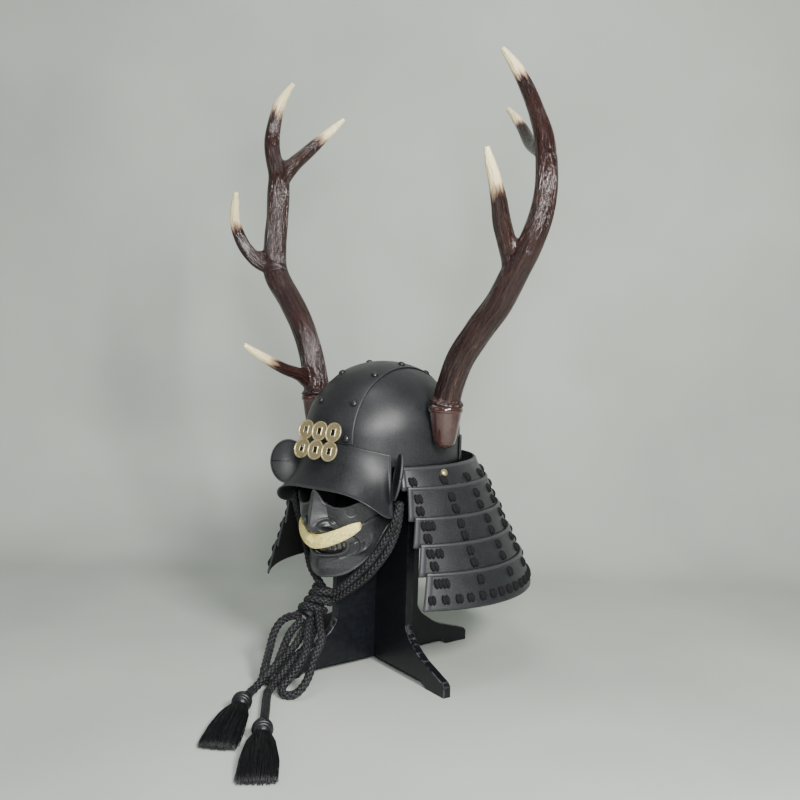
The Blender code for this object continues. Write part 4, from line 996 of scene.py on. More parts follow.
RIGHT_BEAM = (
    (0.000, 0.000, 0.000, 1.00),
    (0.035, 0.014, 0.015, 1.06),
    (0.113, 0.054, 0.038, 0.97),
    (0.175, 0.116, 0.054, 0.95),
    (0.235, 0.211, 0.069, 0.97),
    (0.304, 0.367, 0.077, 0.99),
    (0.367, 0.524, 0.092, 1.04),
    (0.415, 0.585, 0.092, 1.02),
    (0.494, 0.585, 0.085, 0.93),
    (0.571, 0.571, 0.077, 0.90),
    (0.650, 0.578, 0.062, 0.95),
    (0.704, 0.599, 0.046, 0.86),
    (0.762, 0.701, 0.015, 0.70),
    (0.821, 0.755, -0.015, 0.66),
    (0.883, 0.741, -0.038, 0.56),
    (0.938, 0.687, -0.054, 0.48),
    (0.975, 0.599, -0.069, 0.35),
    (1.000, 0.510, -0.077, 0.20),
)
RIGHT_BACK_TINE = (
    (0.680, 0.580, 0.040, 0.66),
    (0.742, 0.524, -0.115, 0.64),
    (0.781, 0.483, -0.269, 0.57),
    (0.821, 0.415, -0.400, 0.51),
    (0.865, 0.333, -0.538, 0.39),
    (0.908, 0.231, -0.654, 0.20),
)
RIGHT_FORE_TINE = (
    (0.395, 0.560, 0.092, 0.65),
    (0.408, 0.619, 0.154, 0.67),
    (0.427, 0.714, 0.246, 0.63),
    (0.465, 0.796, 0.346, 0.56),
    (0.510, 0.837, 0.423, 0.50),
    (0.554, 0.830, 0.492, 0.42),
    (0.598, 0.769, 0.554, 0.34),
    (0.631, 0.707, 0.608, 0.20),
)
RIGHT_BROW_TINE = (
    (0.027, 0.030, 0.020, 0.57),
    (0.044, 0.054, 0.115, 0.57),
    (0.067, 0.048, 0.269, 0.53),
    (0.083, 0.075, 0.462, 0.47),
    (0.106, 0.116, 0.654, 0.42),
    (0.131, 0.150, 0.846, 0.34),
    (0.156, 0.190, 1.000, 0.20),
)


def branch(sign, table, burr=False):
    """Route and radii of a beam or a tine in even steps."""
    rows = np.array(table)
    spots = np.stack([
        sign * (ANTLER_OUT + ANTLER_SPREAD * rows[:, 1]),
        -ANTLER_FORE - ANTLER_REACH * rows[:, 2],
        ANTLER_BASE + ANTLER_RISE * rows[:, 0],
    ], axis=1)
    route = smooth_route(spots, 0.0018)
    marks = np.concatenate([[0.0], np.cumsum(np.linalg.norm(np.diff(spots, axis=0), axis=1))])
    places = np.linspace(0.0, 1.0, len(route))
    radii = BEAM_RADIUS * np.interp(places, marks / marks[-1], rows[:, 3])
    if burr:
        rise = route[:, 2] - ANTLER_BASE
        collar = np.interp(rise, BURR[:, 0], BURR[:, 1] * BURR_RADIUS)
        radii = np.where(rise < BURR[-1, 0], np.maximum(collar, radii * 0.9), radii)
    return route, radii


def fused(chunks, voxel, passes):
    """One smooth skin round overlapping chunks, as points and faces."""
    mesh = bpy.data.meshes.new("rough_skin")
    faces = []
    start = 0
    for part, own in chunks:
        faces.extend([[index + start for index in face] for face in own])
        start += len(part)
    mesh.from_pydata(np.vstack([part for part, _ in chunks]).tolist(), [], faces)
    holder = bpy.data.objects.new("rough_skin", mesh)
    bpy.context.scene.collection.objects.link(holder)
    skin = holder.modifiers.new("skin", "REMESH")
    skin.mode = "VOXEL"
    skin.voxel_size = voxel
    soft = holder.modifiers.new("soft", "SMOOTH")
    soft.factor = 0.5
    soft.iterations = passes
    graph = bpy.context.evaluated_depsgraph_get()
    whole = bpy.data.meshes.new_from_object(holder.evaluated_get(graph))
    spots = np.empty(len(whole.vertices) * 3)
    whole.vertices.foreach_get("co", spots)
    polygons = [list(face.vertices) for face in whole.polygons]
    bpy.data.objects.remove(holder)
    bpy.data.meshes.remove(mesh)
    bpy.data.meshes.remove(whole)
    return spots.reshape(-1, 3), polygons


horn, tree, surface = shader_tree("stag_horn", 0.20, Specular_IOR_Level=0.55)
grain_spot = add_node(tree, "ShaderNodeAttribute", attribute_name="grain").outputs["Vector"]
streak = add_node(
    tree, "ShaderNodeTexNoise", {"Vector": grain_spot, "Scale": 190.0, "Detail": 3.0, "Roughness": 0.6},
)
fibre = add_node(tree, "ShaderNodeTexNoise", {"Vector": grain_spot, "Scale": 620.0, "Detail": 2.0})
broad = add_node(tree, "ShaderNodeTexNoise", {"Vector": grain_spot, "Scale": 45.0, "Detail": 2.0})
ground = colour_ramp(
    tree,
    streak.outputs["Fac"],
    [(0.30, (0.010, 0.0038, 0.0034)), (0.52, (0.023, 0.0090, 0.0078)), (0.74, (0.042, 0.0180, 0.0155))],
)
fleck = add_node(
    tree, "ShaderNodeMapRange", {"Value": fibre.outputs["Fac"], "From Min": 0.60, "From Max": 0.72},
)
patchy = add_node(
    tree, "ShaderNodeMapRange", {"Value": broad.outputs["Fac"], "From Min": 0.45, "From Max": 0.62},
)
fleck_share = add_node(
    tree,
    "ShaderNodeMath",
    {0: fleck.outputs["Result"], 1: patchy.outputs["Result"]},
    operation="MULTIPLY",
)
flecked = add_node(
    tree,
    "ShaderNodeMix",
    {0: fleck_share.outputs[0], 6: ground, 7: (0.13, 0.070, 0.052, 1.0)},
    data_type="RGBA",
)
tip = add_node(tree, "ShaderNodeAttribute", attribute_name="tip").outputs["Fac"]
ragged = add_node(tree, "ShaderNodeMath", {0: streak.outputs["Fac"], 1: 0.5}, operation="SUBTRACT")
ragged_tip = add_node(
    tree, "ShaderNodeMath", {0: ragged.outputs[0], 1: 0.42, 2: tip}, operation="MULTIPLY_ADD",
)
pale = colour_ramp(
    tree,
    ragged_tip.outputs[0],
    [(0.38, (0.0, 0.0, 0.0)), (0.49, (0.55, 0.55, 0.55)), (0.56, (1.0, 1.0, 1.0))],
)
bone = colour_ramp(
    tree,
    ragged_tip.outputs[0],
    [(0.38, (0.42, 0.22, 0.17)), (0.55, (0.84, 0.68, 0.40)), (0.72, (0.96, 0.85, 0.48))],
)
skin_tone = add_node(tree, "ShaderNodeMix", {0: pale, 6: flecked.outputs[2], 7: bone}, data_type="RGBA")
tree.links.new(skin_tone.outputs[2], surface.inputs["Base Color"])
gloss = add_node(tree, "ShaderNodeMapRange", {"Value": streak.outputs["Fac"], "To Min": 0.07, "To Max": 0.17})
tree.links.new(gloss.outputs["Result"], surface.inputs["Roughness"])
relief_mix = add_node(
    tree, "ShaderNodeMath", {0: fibre.outputs["Fac"], 1: streak.outputs["Fac"]}, operation="ADD",
)
bump = add_node(
    tree, "ShaderNodeBump", {"Height": relief_mix.outputs[0], "Strength": 1.0, "Distance": 0.0021},
)
tree.links.new(bump.outputs["Normal"], surface.inputs["Normal"])

for label, sign, beam, tines in (
    ("left", 1.0, LEFT_BEAM, (LEFT_FORE_TINE, LEFT_BACK_TINE)),
    ("right", -1.0, RIGHT_BEAM, (RIGHT_BROW_TINE, RIGHT_FORE_TINE, RIGHT_BACK_TINE)),
):
    branches = [branch(sign, beam, True)] + [branch(sign, table) for table in tines]
    limbs = [tube(route, radii, 28) for route, radii in branches]
    for route, radii in branches[1:]:
        reach = int(WEB_REACH / 0.0018)
        joint = route[0]
        for way in (1.0, -1.0):
            nearest = int(np.argmin(np.linalg.norm(branches[0][0] - joint, axis=1)))
            other = branches[0][0][np.clip(nearest + int(way * reach), 0, len(branches[0][0]) - 1)]
            pull = WEB_PULL_INSIDE if way > 0.0 else WEB_PULL_OUTSIDE
            web = smooth_route(
                (route[reach], 0.5 * (route[reach] + other) * (1.0 - pull) + pull * joint, other), 0.002,
            )
            limbs.append(tube(web, radii[reach] * 0.88, 18))
    spots, faces = fused(limbs, 0.0013, 6)
    tree_of_spots = KDTree(sum(len(route) for route, _ in branches))
    owners = []
    for route, radii in branches:
        heads, sides, ups = cross_axes(route)
        length = route_length(route)
        for place, spot in enumerate(route):
            tree_of_spots.insert(Vector(spot), len(owners))
            travelled = length * place / (len(route) - 1.0)
            owners.append(
                (spot, heads[place], sides[place], ups[place], radii[place], travelled, length - travelled),
            )
    tree_of_spots.balance()
    grain_layer = np.empty((len(spots), 3))
    tip_layer = np.empty(len(spots))
    for index, spot in enumerate(spots):
        own = owners[tree_of_spots.find(Vector(spot))[1]]
        away = spot - own[0]
        away = away - own[1] * away.dot(own[1])
        size = max(1e-6, math.sqrt(away.dot(away)))
        across = away.dot(own[2]) / size
        upright = away.dot(own[3]) / size
        radius = own[4]
        grain_layer[index] = (across * radius, upright * radius, own[5] * 0.14)
        tip_layer[index] = max(0.0, 1.0 - own[6] / (2.0 * PALE_TIP))
        ridge = noise.noise(Vector((across * 2.6, upright * 2.6, own[5] * 9.0)))
        fine = noise.noise(Vector((across * 6.5, upright * 6.5, own[5] * 22.0 + 7.0)))
        depth = (0.0013 * ridge + 0.0008 * fine) * min(1.0, radius / BEAM_RADIUS) * min(1.0, own[6] / 0.05)
        rise = spot[2] - ANTLER_BASE
        if rise < 0.014:
            bead = noise.noise(Vector((across * 5.0, upright * 5.0, 3.0)))
            depth += 0.0016 * bead * max(0.0, 1.0 - abs(rise - 0.0060) / 0.008)
        spots[index] = spot + away / size * depth
    spots[:, 2] = np.maximum(spots[:, 2], ANTLER_BASE)
    build(
        label + "_stag_antler",
        [(spots, faces)],
        [label + "_antler"],
        horn,
        {"grain": grain_layer, "tip": tip_layer},
    )

# Antler sockets: turned and faceted buckets on the sides of the bowl, in a deep brown gloss.
SOCKET_TOP_RADIUS = 0.0245
SOCKET_LENGTH = 0.058
SOCKET_FACETS = 12
SOCKET_LINE = (
    (0.060, 0.30),
    (0.045, 0.70),
    (0.010, 0.84),
    (0.000, 0.90),
    (0.010, 0.965),
    (0.035, 1.00),
    (0.110, 1.00),
    (0.130, 0.975),
    (0.140, 0.93),
    (0.470, 0.80),
    (0.800, 0.66),
    (0.880, 0.60),
    (0.940, 0.51),
    (1.000, 0.26),
)
brown_gloss, tree, surface = shader_tree("socket_gloss", 0.14, Coat_Weight=0.8, Coat_Roughness=0.05)
spot = add_node(tree, "ShaderNodeTexCoord").outputs["Object"]
mottle = add_node(tree, "ShaderNodeTexNoise", {"Vector": spot, "Scale": 90.0, "Detail": 5.0})
tint = colour_ramp(
    tree, mottle.outputs["Fac"], [(0.3, (0.034, 0.0135, 0.0120)), (0.7, (0.058, 0.0255, 0.0225))],
)
tree.links.new(tint, surface.inputs["Base Color"])
bump = add_node(
    tree, "ShaderNodeBump", {"Height": mottle.outputs["Fac"], "Strength": 0.4, "Distance": 0.0004},
)
tree.links.new(bump.outputs["Normal"], surface.inputs["Normal"])
facet = 2.0 * math.pi / SOCKET_FACETS
turns = 2.0 * math.pi * np.arange(SOCKET_FACETS * 8) / (SOCKET_FACETS * 8)
flat_side = math.cos(facet / 2.0) / np.cos(np.mod(turns, facet) - facet / 2.0)
for label, sign in (("left", 1.0), ("right", -1.0)):
    middle = np.array([sign * ANTLER_OUT, -ANTLER_FORE, ANTLER_BASE - 0.0003])
    rings = []
    for down, share in SOCKET_LINE:
        faceted = 1.0 if down < 0.135 else 0.6 + 0.4 * flat_side
        reach = SOCKET_TOP_RADIUS * share * faceted * np.ones(len(turns))
        ring = np.stack(
            [reach * np.cos(turns), reach * np.sin(turns), -SOCKET_LENGTH * down * np.ones(len(turns))],
            axis=1,
        )
        rings.append(middle + ring)
    spots = outside_bowl(np.vstack(rings), 0.0004)
    build(
        label + "_faceted_socket",
        [(spots, ring_faces(len(rings), len(turns)))],
        [label + "_socket"],
        brown_gloss,
        sharp=40,
    )

# Crest: six holed coins joined in two rows of three, in pale aged brass, on a short iron post.
COIN_RADIUS = 0.0138
COIN_THICKNESS = 0.0022
COIN_PITCH = 0.0245
COIN_ROW_PITCH = 0.0262
HOLE_HALF_WIDTH = 0.0029
HOLE_HALF_HEIGHT = 0.0040
CREST_LEAN = math.radians(17.0)
CREST_CENTRE = np.array([0.0, BOWL_BACK_SET - BOWL_HALF_LENGTH - 0.0205, RIM_HEIGHT + 0.0340])
POST_RADIUS = 0.0030
crest_across = np.array([1.0, 0.0, 0.0])
crest_up = np.array([0.0, math.sin(CREST_LEAN), math.cos(CREST_LEAN)])
crest_front = np.array([0.0, -math.cos(CREST_LEAN), math.sin(CREST_LEAN)])
coins = []
recesses = []
around = np.linspace(0.0, 2.0 * math.pi, 145)
for row in (-0.5, 0.5):
    for column in (-1.0, 0.0, 1.0):
        cosine = np.cos(around)
        sine = np.sin(around)
        hole = np.minimum(
            HOLE_HALF_WIDTH / np.maximum(np.abs(cosine), 1e-6),
            HOLE_HALF_HEIGHT / np.maximum(np.abs(sine), 1e-6),
        )
        outer_reach = np.full(len(around), COIN_RADIUS)
        towards = cosine * -column > 0.0 if column else np.ones(len(around), dtype=bool)
        outer_reach = np.where(
            towards,
            np.minimum(outer_reach, 0.5 * COIN_PITCH / np.maximum(np.abs(cosine), 1e-6)),
            outer_reach,
        )
        outer_reach = np.where(
            sine * -row > 0.0,
            np.minimum(outer_reach, 0.5 * COIN_ROW_PITCH / np.maximum(np.abs(sine), 1e-6)),
            outer_reach,
        )
        steps = edge_steps(34, 0.6)[:, None]
        reach = hole[None, :] + (outer_reach - hole)[None, :] * steps
        x = reach * cosine
        z = reach * sine
        rim_gap = COIN_RADIUS - reach
        hole_gap = np.maximum(np.abs(x) - HOLE_HALF_WIDTH, np.abs(z) - HOLE_HALF_HEIGHT)
        height = 0.0009 * np.clip(1.0 - ((rim_gap - 0.0010) / 0.0012) ** 4, 0.0, 1.0)
        height = np.maximum(height, 0.0008 * np.clip(1.0 - ((hole_gap - 0.0007) / 0.0009) ** 4, 0.0, 1.0))
        depth = np.clip(1.0 - height / 0.0008, 0.0, 1.0)
        # Hole edges are marked for painted shade, so the hole walls render near black.
        depth[hole_gap < 0.0001] = 2.0
        recesses.append(depth.ravel())
        # The back near each hole is marked for painted shade; the rest of the back takes the plain field
        # tone.
        recesses.append(np.where(steps < 0.5, 2.0, 1.0 + 0.0 * height).ravel())
        height = height - rounding(np.minimum(rim_gap, hole_gap), 0.0004)
        flat = CREST_CENTRE + crest_across * (x + column * COIN_PITCH)[..., None]
        flat = flat + crest_up * (z + row * COIN_ROW_PITCH)[..., None]
        front = flat + crest_front * (COIN_THICKNESS - 0.0005 + height)[..., None]
        back = flat + crest_front * (0.0 * height)[..., None]
        coins.append(plate(front, back))
build("six_coin_crest", coins, ["coin_crest"], brass, {"recess": np.concatenate(recesses)})
post_line = np.linspace(
    CREST_CENTRE + [0.0, 0.0014, 0.0], [0.0, BOWL_BACK_SET - BOWL_HALF_LENGTH - 0.0030, CREST_CENTRE[2]], 8,
)
build("crest_post_rod", [tube(post_line, POST_RADIUS, 28)], ["crest_post"], iron, sharp=40)

# Mask: a half face of lacquered iron, hammered with a hooked nose, cheek folds and an open mouth.
MASK_HALF_WIDTH = 0.073
MASK_HEIGHT = 0.141
MASK_DEPTH = 0.090
MASK_FORE = 0.139
CHIN_HEIGHT = RIM_HEIGHT - 0.156
MASK_WALL = 0.0024
JAW_RISE = 0.082
NOSE_RISE = 0.0180
MOUTH_HALF_WIDTH = 0.0350
MOUTH_CORNER_RISE = 0.0490
MOUTH_DROP = 0.0155
MOUTH_LIFT = 0.0050
MASK_LINE = (
    (0.00, 0.920, 1.50),
    (0.10, 0.943, 1.50),
    (0.22, 0.945, 1.52),
    (0.32, 0.965, 1.60),
    (0.48, 0.978, 1.85),
    (0.74, 0.992, 2.40),
    (1.00, 1.000, 2.50),
)
NOSE_LINE = (
    (0.42, 0.000, 0.240),
    (0.475, 1.000, 0.255),
    (0.52, 1.000, 0.232),
    (0.64, 0.760, 0.192),
    (0.78, 0.500, 0.150),
    (1.00, 0.420, 0.125),
)
MASK_LINE = np.array(MASK_LINE)
NOSE_LINE = np.array(NOSE_LINE)


def mask_low(side):
    q = np.abs(side)
    return JAW_RISE * (0.25 * q ** 2 + 0.75 * q ** 4)


def mask_high(side):
    q = np.abs(side)
    eye = np.where(q > 0.80, 0.113, 0.101 + 0.012 * ((q - 0.43) / 0.37) ** 2)
    return eye + 0.008 * np.exp(-((q / 0.13) ** 4))


def face_spot(x, rise, out):
    """Point of the face at a distance from the middle line and a rise above the chin."""
    side = np.clip(np.abs(x) / MASK_HALF_WIDTH, 0.0, 0.9999)
    level = rise / MASK_HEIGHT
    fore = np.interp(level, MASK_LINE[:, 0], MASK_LINE[:, 1])
    square = np.interp(level, MASK_LINE[:, 0], MASK_LINE[:, 2])
    ridge = np.interp(level, NOSE_LINE[:, 0], NOSE_LINE[:, 1])
    width = np.interp(level, NOSE_LINE[:, 0], NOSE_LINE[:, 2])
    bend = (1.0 - side ** square) ** (1.0 / square)
    wedge = 0.05 * np.exp(-((side / width) ** 2)) + 0.95 * np.clip(1.0 - side / (1.3 * width), 0.0, 1.0)
    depth = MASK_FORE * fore - MASK_DEPTH * (1.0 - bend) + NOSE_RISE * ridge * wedge
    wide = x * (1.0 + out / MASK_HALF_WIDTH)
    return np.stack(
        np.broadcast_arrays(wide, -(depth + out * (0.35 + 0.65 * bend)), CHIN_HEIGHT + rise), axis=-1,
    )


def mouth_level(x, rise):
    """1 on the edge of the mouth, less inside it."""
    drop = np.where(rise < MOUTH_CORNER_RISE, MOUTH_DROP, MOUTH_LIFT)
    return np.abs(x / MOUTH_HALF_WIDTH) ** 3.0 + np.abs((rise - MOUTH_CORNER_RISE) / drop) ** 2.4


def mouth_gap(x, rise):
    """Distance outside the edge of the mouth, with the way to the edge."""
    small = 1e-5
    level = mouth_level(x, rise)
    slope_x = (mouth_level(x + small, rise) - mouth_level(x - small, rise)) / (2.0 * small)
    slope_z = (mouth_level(x, rise + small) - mouth_level(x, rise - small)) / (2.0 * small)
    steep = np.maximum(np.hypot(slope_x, slope_z), 20.0)
    return (level - 1.0) / steep, slope_x / steep, slope_z / steep


def line_gap(x, rise, line):
    """Distance from a drawn line on either half of the face."""
    best = np.full(np.shape(x), 1.0)
    for (ax, az), (bx, bz) in zip(line, line[1:]):
        across = bx - ax
        upward = bz - az
        share = ((np.abs(x) - ax) * across + (rise - az) * upward) / (across ** 2 + upward ** 2)
        share = np.clip(share, 0.0, 1.0)
        best = np.minimum(best, np.hypot(np.abs(x) - ax - across * share, rise - az - upward * share))
    return best


def ridge_shape(gap, width):
    return np.exp(-((gap / width) ** 2))


def round_spot(x, rise, centre, wide, high):
    return np.exp(-(((np.abs(x) - centre[0]) / wide) ** 2 + ((rise - centre[1]) / high) ** 2))


def drawn(*points):
    """Smooth line through a few points of one half of the face."""
    return smooth_route([(across, upward, 0.0) for across, upward in points], 0.0020)[:, :2]


CHEEK_FOLD = drawn((0.0400, 0.0650), (0.0458, 0.0570), (0.0473, 0.0490), (0.0445, 0.0400), (0.0370, 0.0335))
JAW_RIDGE = drawn((0.0415, 0.0320), (0.0485, 0.0375), (0.0545, 0.0450), (0.0590, 0.0550), (0.0605, 0.0630))
CHEEK_STEP = drawn((0.0500, 0.0760), (0.0580, 0.0810), (0.0650, 0.0880), (0.0720, 0.0960))
CHIN_FOLD = drawn((0.0000, 0.0250), (0.0120, 0.0255), (0.0210, 0.0290))

side, up = np.meshgrid(np.linspace(-0.995, 0.995, 235), edge_steps(200, 0.3), indexing="ij")
side = np.sin(side * 1.35) / math.sin(0.995 * 1.35) * 0.995
x = MASK_HALF_WIDTH * side
rise = mask_low(side) + (mask_high(side) - mask_low(side)) * up
gap = mouth_gap(x, rise)[0]
k = np.arange(x.size).reshape(x.shape)
faces = grid_faces(*x.shape)
centre_gap = mouth_gap(x.ravel()[faces].mean(axis=1), rise.ravel()[faces].mean(axis=1))[0]
open_face = centre_gap < 0.0
border = np.intersect1d(np.unique(faces[open_face]), np.unique(faces[~open_face]))
flat_x = x.ravel()
flat_rise = rise.ravel()
for _ in range(4):
    off, way_x, way_z = mouth_gap(flat_x[border], flat_rise[border])
    flat_x[border] -= off * way_x
    flat_rise[border] -= off * way_z
x = flat_x.reshape(x.shape)
rise = flat_rise.reshape(x.shape)
gap = np.maximum(mouth_gap(x, rise)[0], 0.0)

lift = 0.0018 * ridge_shape(gap - 0.0021, 0.0015) - rounding(gap, 0.0012)
lift -= 0.0009 * ridge_shape(gap - 0.0052, 0.0010)
lift += 0.0030 * round_spot(x, rise, (0.0, 0.0140), 0.016, 0.009)
lift -= 0.0010 * ridge_shape(line_gap(x, rise, CHIN_FOLD), 0.0026)
fold_end = np.clip((rise - 0.0320) / 0.0080, 0.0, 1.0) * np.clip((0.0660 - rise) / 0.0090, 0.0, 1.0)
lift -= 0.0013 * ridge_shape(line_gap(x, rise, CHEEK_FOLD), 0.0015) * fold_end
lift += 0.0020 * ridge_shape(line_gap(x, rise, CHEEK_FOLD + [0.0034, 0.0]), 0.0019) * fold_end
lift += 0.0026 * ridge_shape(line_gap(x, rise, JAW_RIDGE), 0.0018) * fold_end
lift += 0.0030 * round_spot(x, rise, (0.0360, 0.0820), 0.015, 0.012)
lift += 0.0065 * round_spot(x, rise, (0.0185, 0.0745), 0.0085, 0.0080)
arch = np.hypot((np.abs(x) - 0.0185) / 0.0098, (rise - 0.0705) / 0.0112)
above = np.clip((rise - 0.0735) / 0.0050, 0.0, 1.0)
lift += 0.0009 * ridge_shape(arch - 1.0, 0.14) * above
lift -= 0.0014 * ridge_shape(arch - 1.30, 0.12) * above
nostril = np.clip(1.6 * round_spot(x, rise, (0.0180, 0.0708), 0.0060, 0.0036) - 0.35, 0.0, 1.0)
lift -= 0.0075 * nostril
step_gap = line_gap(x, rise, CHEEK_STEP)
lift -= 0.0018 * ridge_shape(step_gap, 0.0009)
loop_gap = np.hypot((np.abs(x) - 0.0465) / 1.0, (rise - 0.0960) / 1.3)
lift -= 0.0006 * ridge_shape(loop_gap - 0.0048, 0.0005)
edge_gap = np.minimum(
    up * (mask_high(side) - mask_low(side)), (1.0 - up) * (mask_high(side) - mask_low(side)),
)
lift += 0.0010 * ridge_shape(edge_gap - 0.0016, 0.0012) - rounding(edge_gap, 0.0010)
hammer = np.array([noise.noise(Vector((a * 90.0, b * 90.0, 0.0))) for a, b in zip(x.ravel(), rise.ravel())])
lift += 0.00025 * hammer.reshape(x.shape)

front = face_spot(x, rise, lift)
back = face_spot(x, rise, -MASK_WALL + np.minimum(lift, 0.0))
kept = faces[~open_face]
count = x.size
sides_of = np.concatenate([kept[:, [0, 1]], kept[:, [1, 2]], kept[:, [2, 3]], kept[:, [3, 0]]])
_, first, times = np.unique(np.sort(sides_of, axis=1), axis=0, return_index=True, return_counts=True)
rim = sides_of[first[times == 1]]
walls = np.stack([rim[:, 1], rim[:, 0], rim[:, 0] + count, rim[:, 1] + count], axis=-1)
mask_faces = np.vstack([kept, kept[:, ::-1] + count, walls]).tolist()
# Lighter mask edges and mouth rim: partly rubbed wear, partly a painted highlight.
worn_and_highlit = np.maximum(np.exp(-edge_gap / 0.0016), 0.5 * ridge_shape(gap - 0.0018, 0.0010))
build(
    "half_face_mask",
    [(np.vstack([front.reshape(-1, 3), back.reshape(-1, 3)]), mask_faces)],
    ["face_mask"],
    lacquer(
        "mask_lacquer", (0.011, 0.0113, 0.0125), (0.046, 0.047, 0.052), 0.35, 0.00013, (0.055, 0.056, 0.062),
    ),
    {
        "edge": np.concatenate([worn_and_highlit.ravel(), worn_and_highlit.ravel() * 0.0]),
        # The nostril and the whole back of the mask are painted near black as shade.
        "painted_shade": np.concatenate([np.clip(nostril * 2.0, 0.0, 1.0).ravel(), np.ones(nostril.size)]),
    },
)

# Teeth: a strip of dull silvered teeth behind the mouth, with a near-black strip behind the whole mouth
# opening as painted shade.
TOOTH_PITCH = 0.0066
TEETH = 11
TOOTH_LOW = 0.0360
TOOTH_HIGH = 0.0490
teeth = []
for number in range(TEETH):
    middle = TOOTH_PITCH * (number - (TEETH - 1) / 2.0)
    wide, high = np.meshgrid(np.linspace(-1.0, 1.0, 11), np.linspace(-1.0, 1.0, 13), indexing="ij")
    tooth_x = middle + wide * TOOTH_PITCH * 0.48
    tooth_rise = (TOOTH_LOW + TOOTH_HIGH) / 2.0 + high * (TOOTH_HIGH - TOOTH_LOW) / 2.0
    tooth_rise = tooth_rise + 0.10 * np.abs(tooth_x) + np.where(high < 0.0, 0.0010 * wide ** 2, 0.0)
    swell = 0.0016 * np.sqrt(np.clip(1.02 - np.maximum(np.abs(wide), 0.9 * np.abs(high)) ** 4, 0.0, 1.0))
    front = face_spot(tooth_x, tooth_rise, -MASK_WALL - 0.0034 + swell)
    back = face_spot(tooth_x, tooth_rise, -MASK_WALL - 0.0044 + 0.0 * swell)
    teeth.append(plate(front, back))
# A near-black strip filling the mouth opening behind the teeth, standing in for the shade inside the mouth.
wide, high = np.meshgrid(np.linspace(-0.0400, 0.0400, 41), np.linspace(0.0325, 0.0530, 9), indexing="ij")
mouth_shade_front = face_spot(wide, high, -MASK_WALL - 0.0040)
mouth_shade_back = face_spot(wide, high, -MASK_WALL - 0.0050)
build(
    "black_mouth_shade_strip",
    [plate(mouth_shade_front, mouth_shade_back)],
    ["teeth"],
    lacquer("mouth_shade_lacquer", (0.002, 0.002, 0.002), (0.004, 0.004, 0.004), 0.55, 0.00004),
)
silvered, tree, surface = shader_tree("silvered_teeth_metal", 0.34, 0.75)
spot = add_node(tree, "ShaderNodeTexCoord").outputs["Object"]
tarnish = add_node(tree, "ShaderNodeTexNoise", {"Vector": spot, "Scale": 260.0, "Detail": 4.0})
tint = colour_ramp(tree, tarnish.outputs["Fac"], [(0.35, (0.04, 0.04, 0.036)), (0.65, (0.20, 0.20, 0.185))])
tree.links.new(tint, surface.inputs["Base Color"])
build("silvered_teeth_row", teeth, ["teeth"], silvered)

# Moustache: cream hair laid from the middle of the lip out to both sides.
MOUSTACHE_HALF_WIDTH = 0.0540
MOUSTACHE_RISE = 0.0520
MOUSTACHE_RADIUS = 0.0090
MOUSTACHE_STRANDS = 3000
MOUSTACHE_CURL_RIGHT = 0.018
MOUSTACHE_CURL_LEFT = 0.024


def moustache_line(share):
    """Middle line and radius of the moustache, from -1 at its right end to 1 at its left."""
    share = np.asarray(share, dtype=float)
    radius = MOUSTACHE_RADIUS * (1.0 - 0.45 * np.abs(share) ** 8)
    curl = np.where(share < 0.0, MOUSTACHE_CURL_RIGHT, MOUSTACHE_CURL_LEFT)
    rise = MOUSTACHE_RISE + curl * np.abs(share) ** 1.7
    spot = face_spot(MOUSTACHE_HALF_WIDTH * share, rise - 0.3 * radius, 0.0)
    side = np.clip(np.abs(spot[..., 0]) / MASK_HALF_WIDTH, 0.0, 0.9999)
    level = (rise - 0.3 * radius) / MASK_HEIGHT
    square = np.interp(level, MASK_LINE[:, 0], MASK_LINE[:, 2])
    plain = MASK_FORE * np.interp(level, MASK_LINE[:, 0], MASK_LINE[:, 1])
    plain = plain - MASK_DEPTH * (1.0 - (1.0 - side ** square) ** (1.0 / square))
    spot[..., 1] = -(plain + radius * 0.62 + 0.0023)
    spot[..., 2] = CHIN_HEIGHT + rise
    return spot, radius


share = np.linspace(-1.0, 1.0, 61)
line, radii = moustache_line(share)
forward = np.tile([0.0, -1.0, 0.0], (61, 1))
upward = np.tile([0.0, 0.0, 1.0], (61, 1))
moustache_chunks = [tube(line, radii * 0.86, 20, 0.56, (upward, forward))]
for number in range(MOUSTACHE_STRANDS):
    start = random.uniform(-0.97, 0.97)
    way = 1.0 if start + random.uniform(-0.10, 0.10) > 0.0 else -1.0
    angle = random.uniform(0.0, 2.0 * math.pi)
    reach = random.uniform(0.90, 1.10)
    span = random.uniform(0.16, 0.34)
    places = np.clip(start + way * span * np.linspace(0.0, 1.0, 7), -1.0, 1.0)
    if abs(places[-1] - places[0]) < 0.05:
        places = start - way * 0.02 + way * 0.06 * np.linspace(0.0, 1.0, 7)
        places = np.clip(places, -1.0, 1.0) + way * 1e-4 * np.arange(7)
    spots, sizes = moustache_line(np.clip(places, -1.0, 1.0))
    spread = angle + random.uniform(-0.35, 0.35) * np.linspace(0.0, 1.0, 7)
    loose = reach + 0.07 * random.random() * np.linspace(0.0, 1.0, 7) ** 2
    spots = spots + np.stack([
        1e-5 * np.arange(7) * way,
        -np.sin(spread) * sizes * 0.58 * loose,
        np.cos(spread) * sizes * loose,
    ], axis=-1)
    moustache_chunks.append(tube(spots, np.linspace(0.00034, 0.00012, 7), 3))
hair, tree, surface = shader_tree(
    "cream_hair_strands", 0.65, Specular_IOR_Level=0.3, Subsurface_Weight=0.08, Subsurface_Scale=0.004,
)
spot = add_node(tree, "ShaderNodeTexCoord").outputs["Object"]
lock_noise = add_node(tree, "ShaderNodeTexNoise", {"Vector": spot, "Scale": 260.0, "Detail": 3.0})
tint = colour_ramp(tree, lock_noise.outputs["Fac"], [(0.25, (0.95, 0.78, 0.27)), (0.60, (1.0, 0.92, 0.42))])
tree.links.new(tint, surface.inputs["Base Color"])
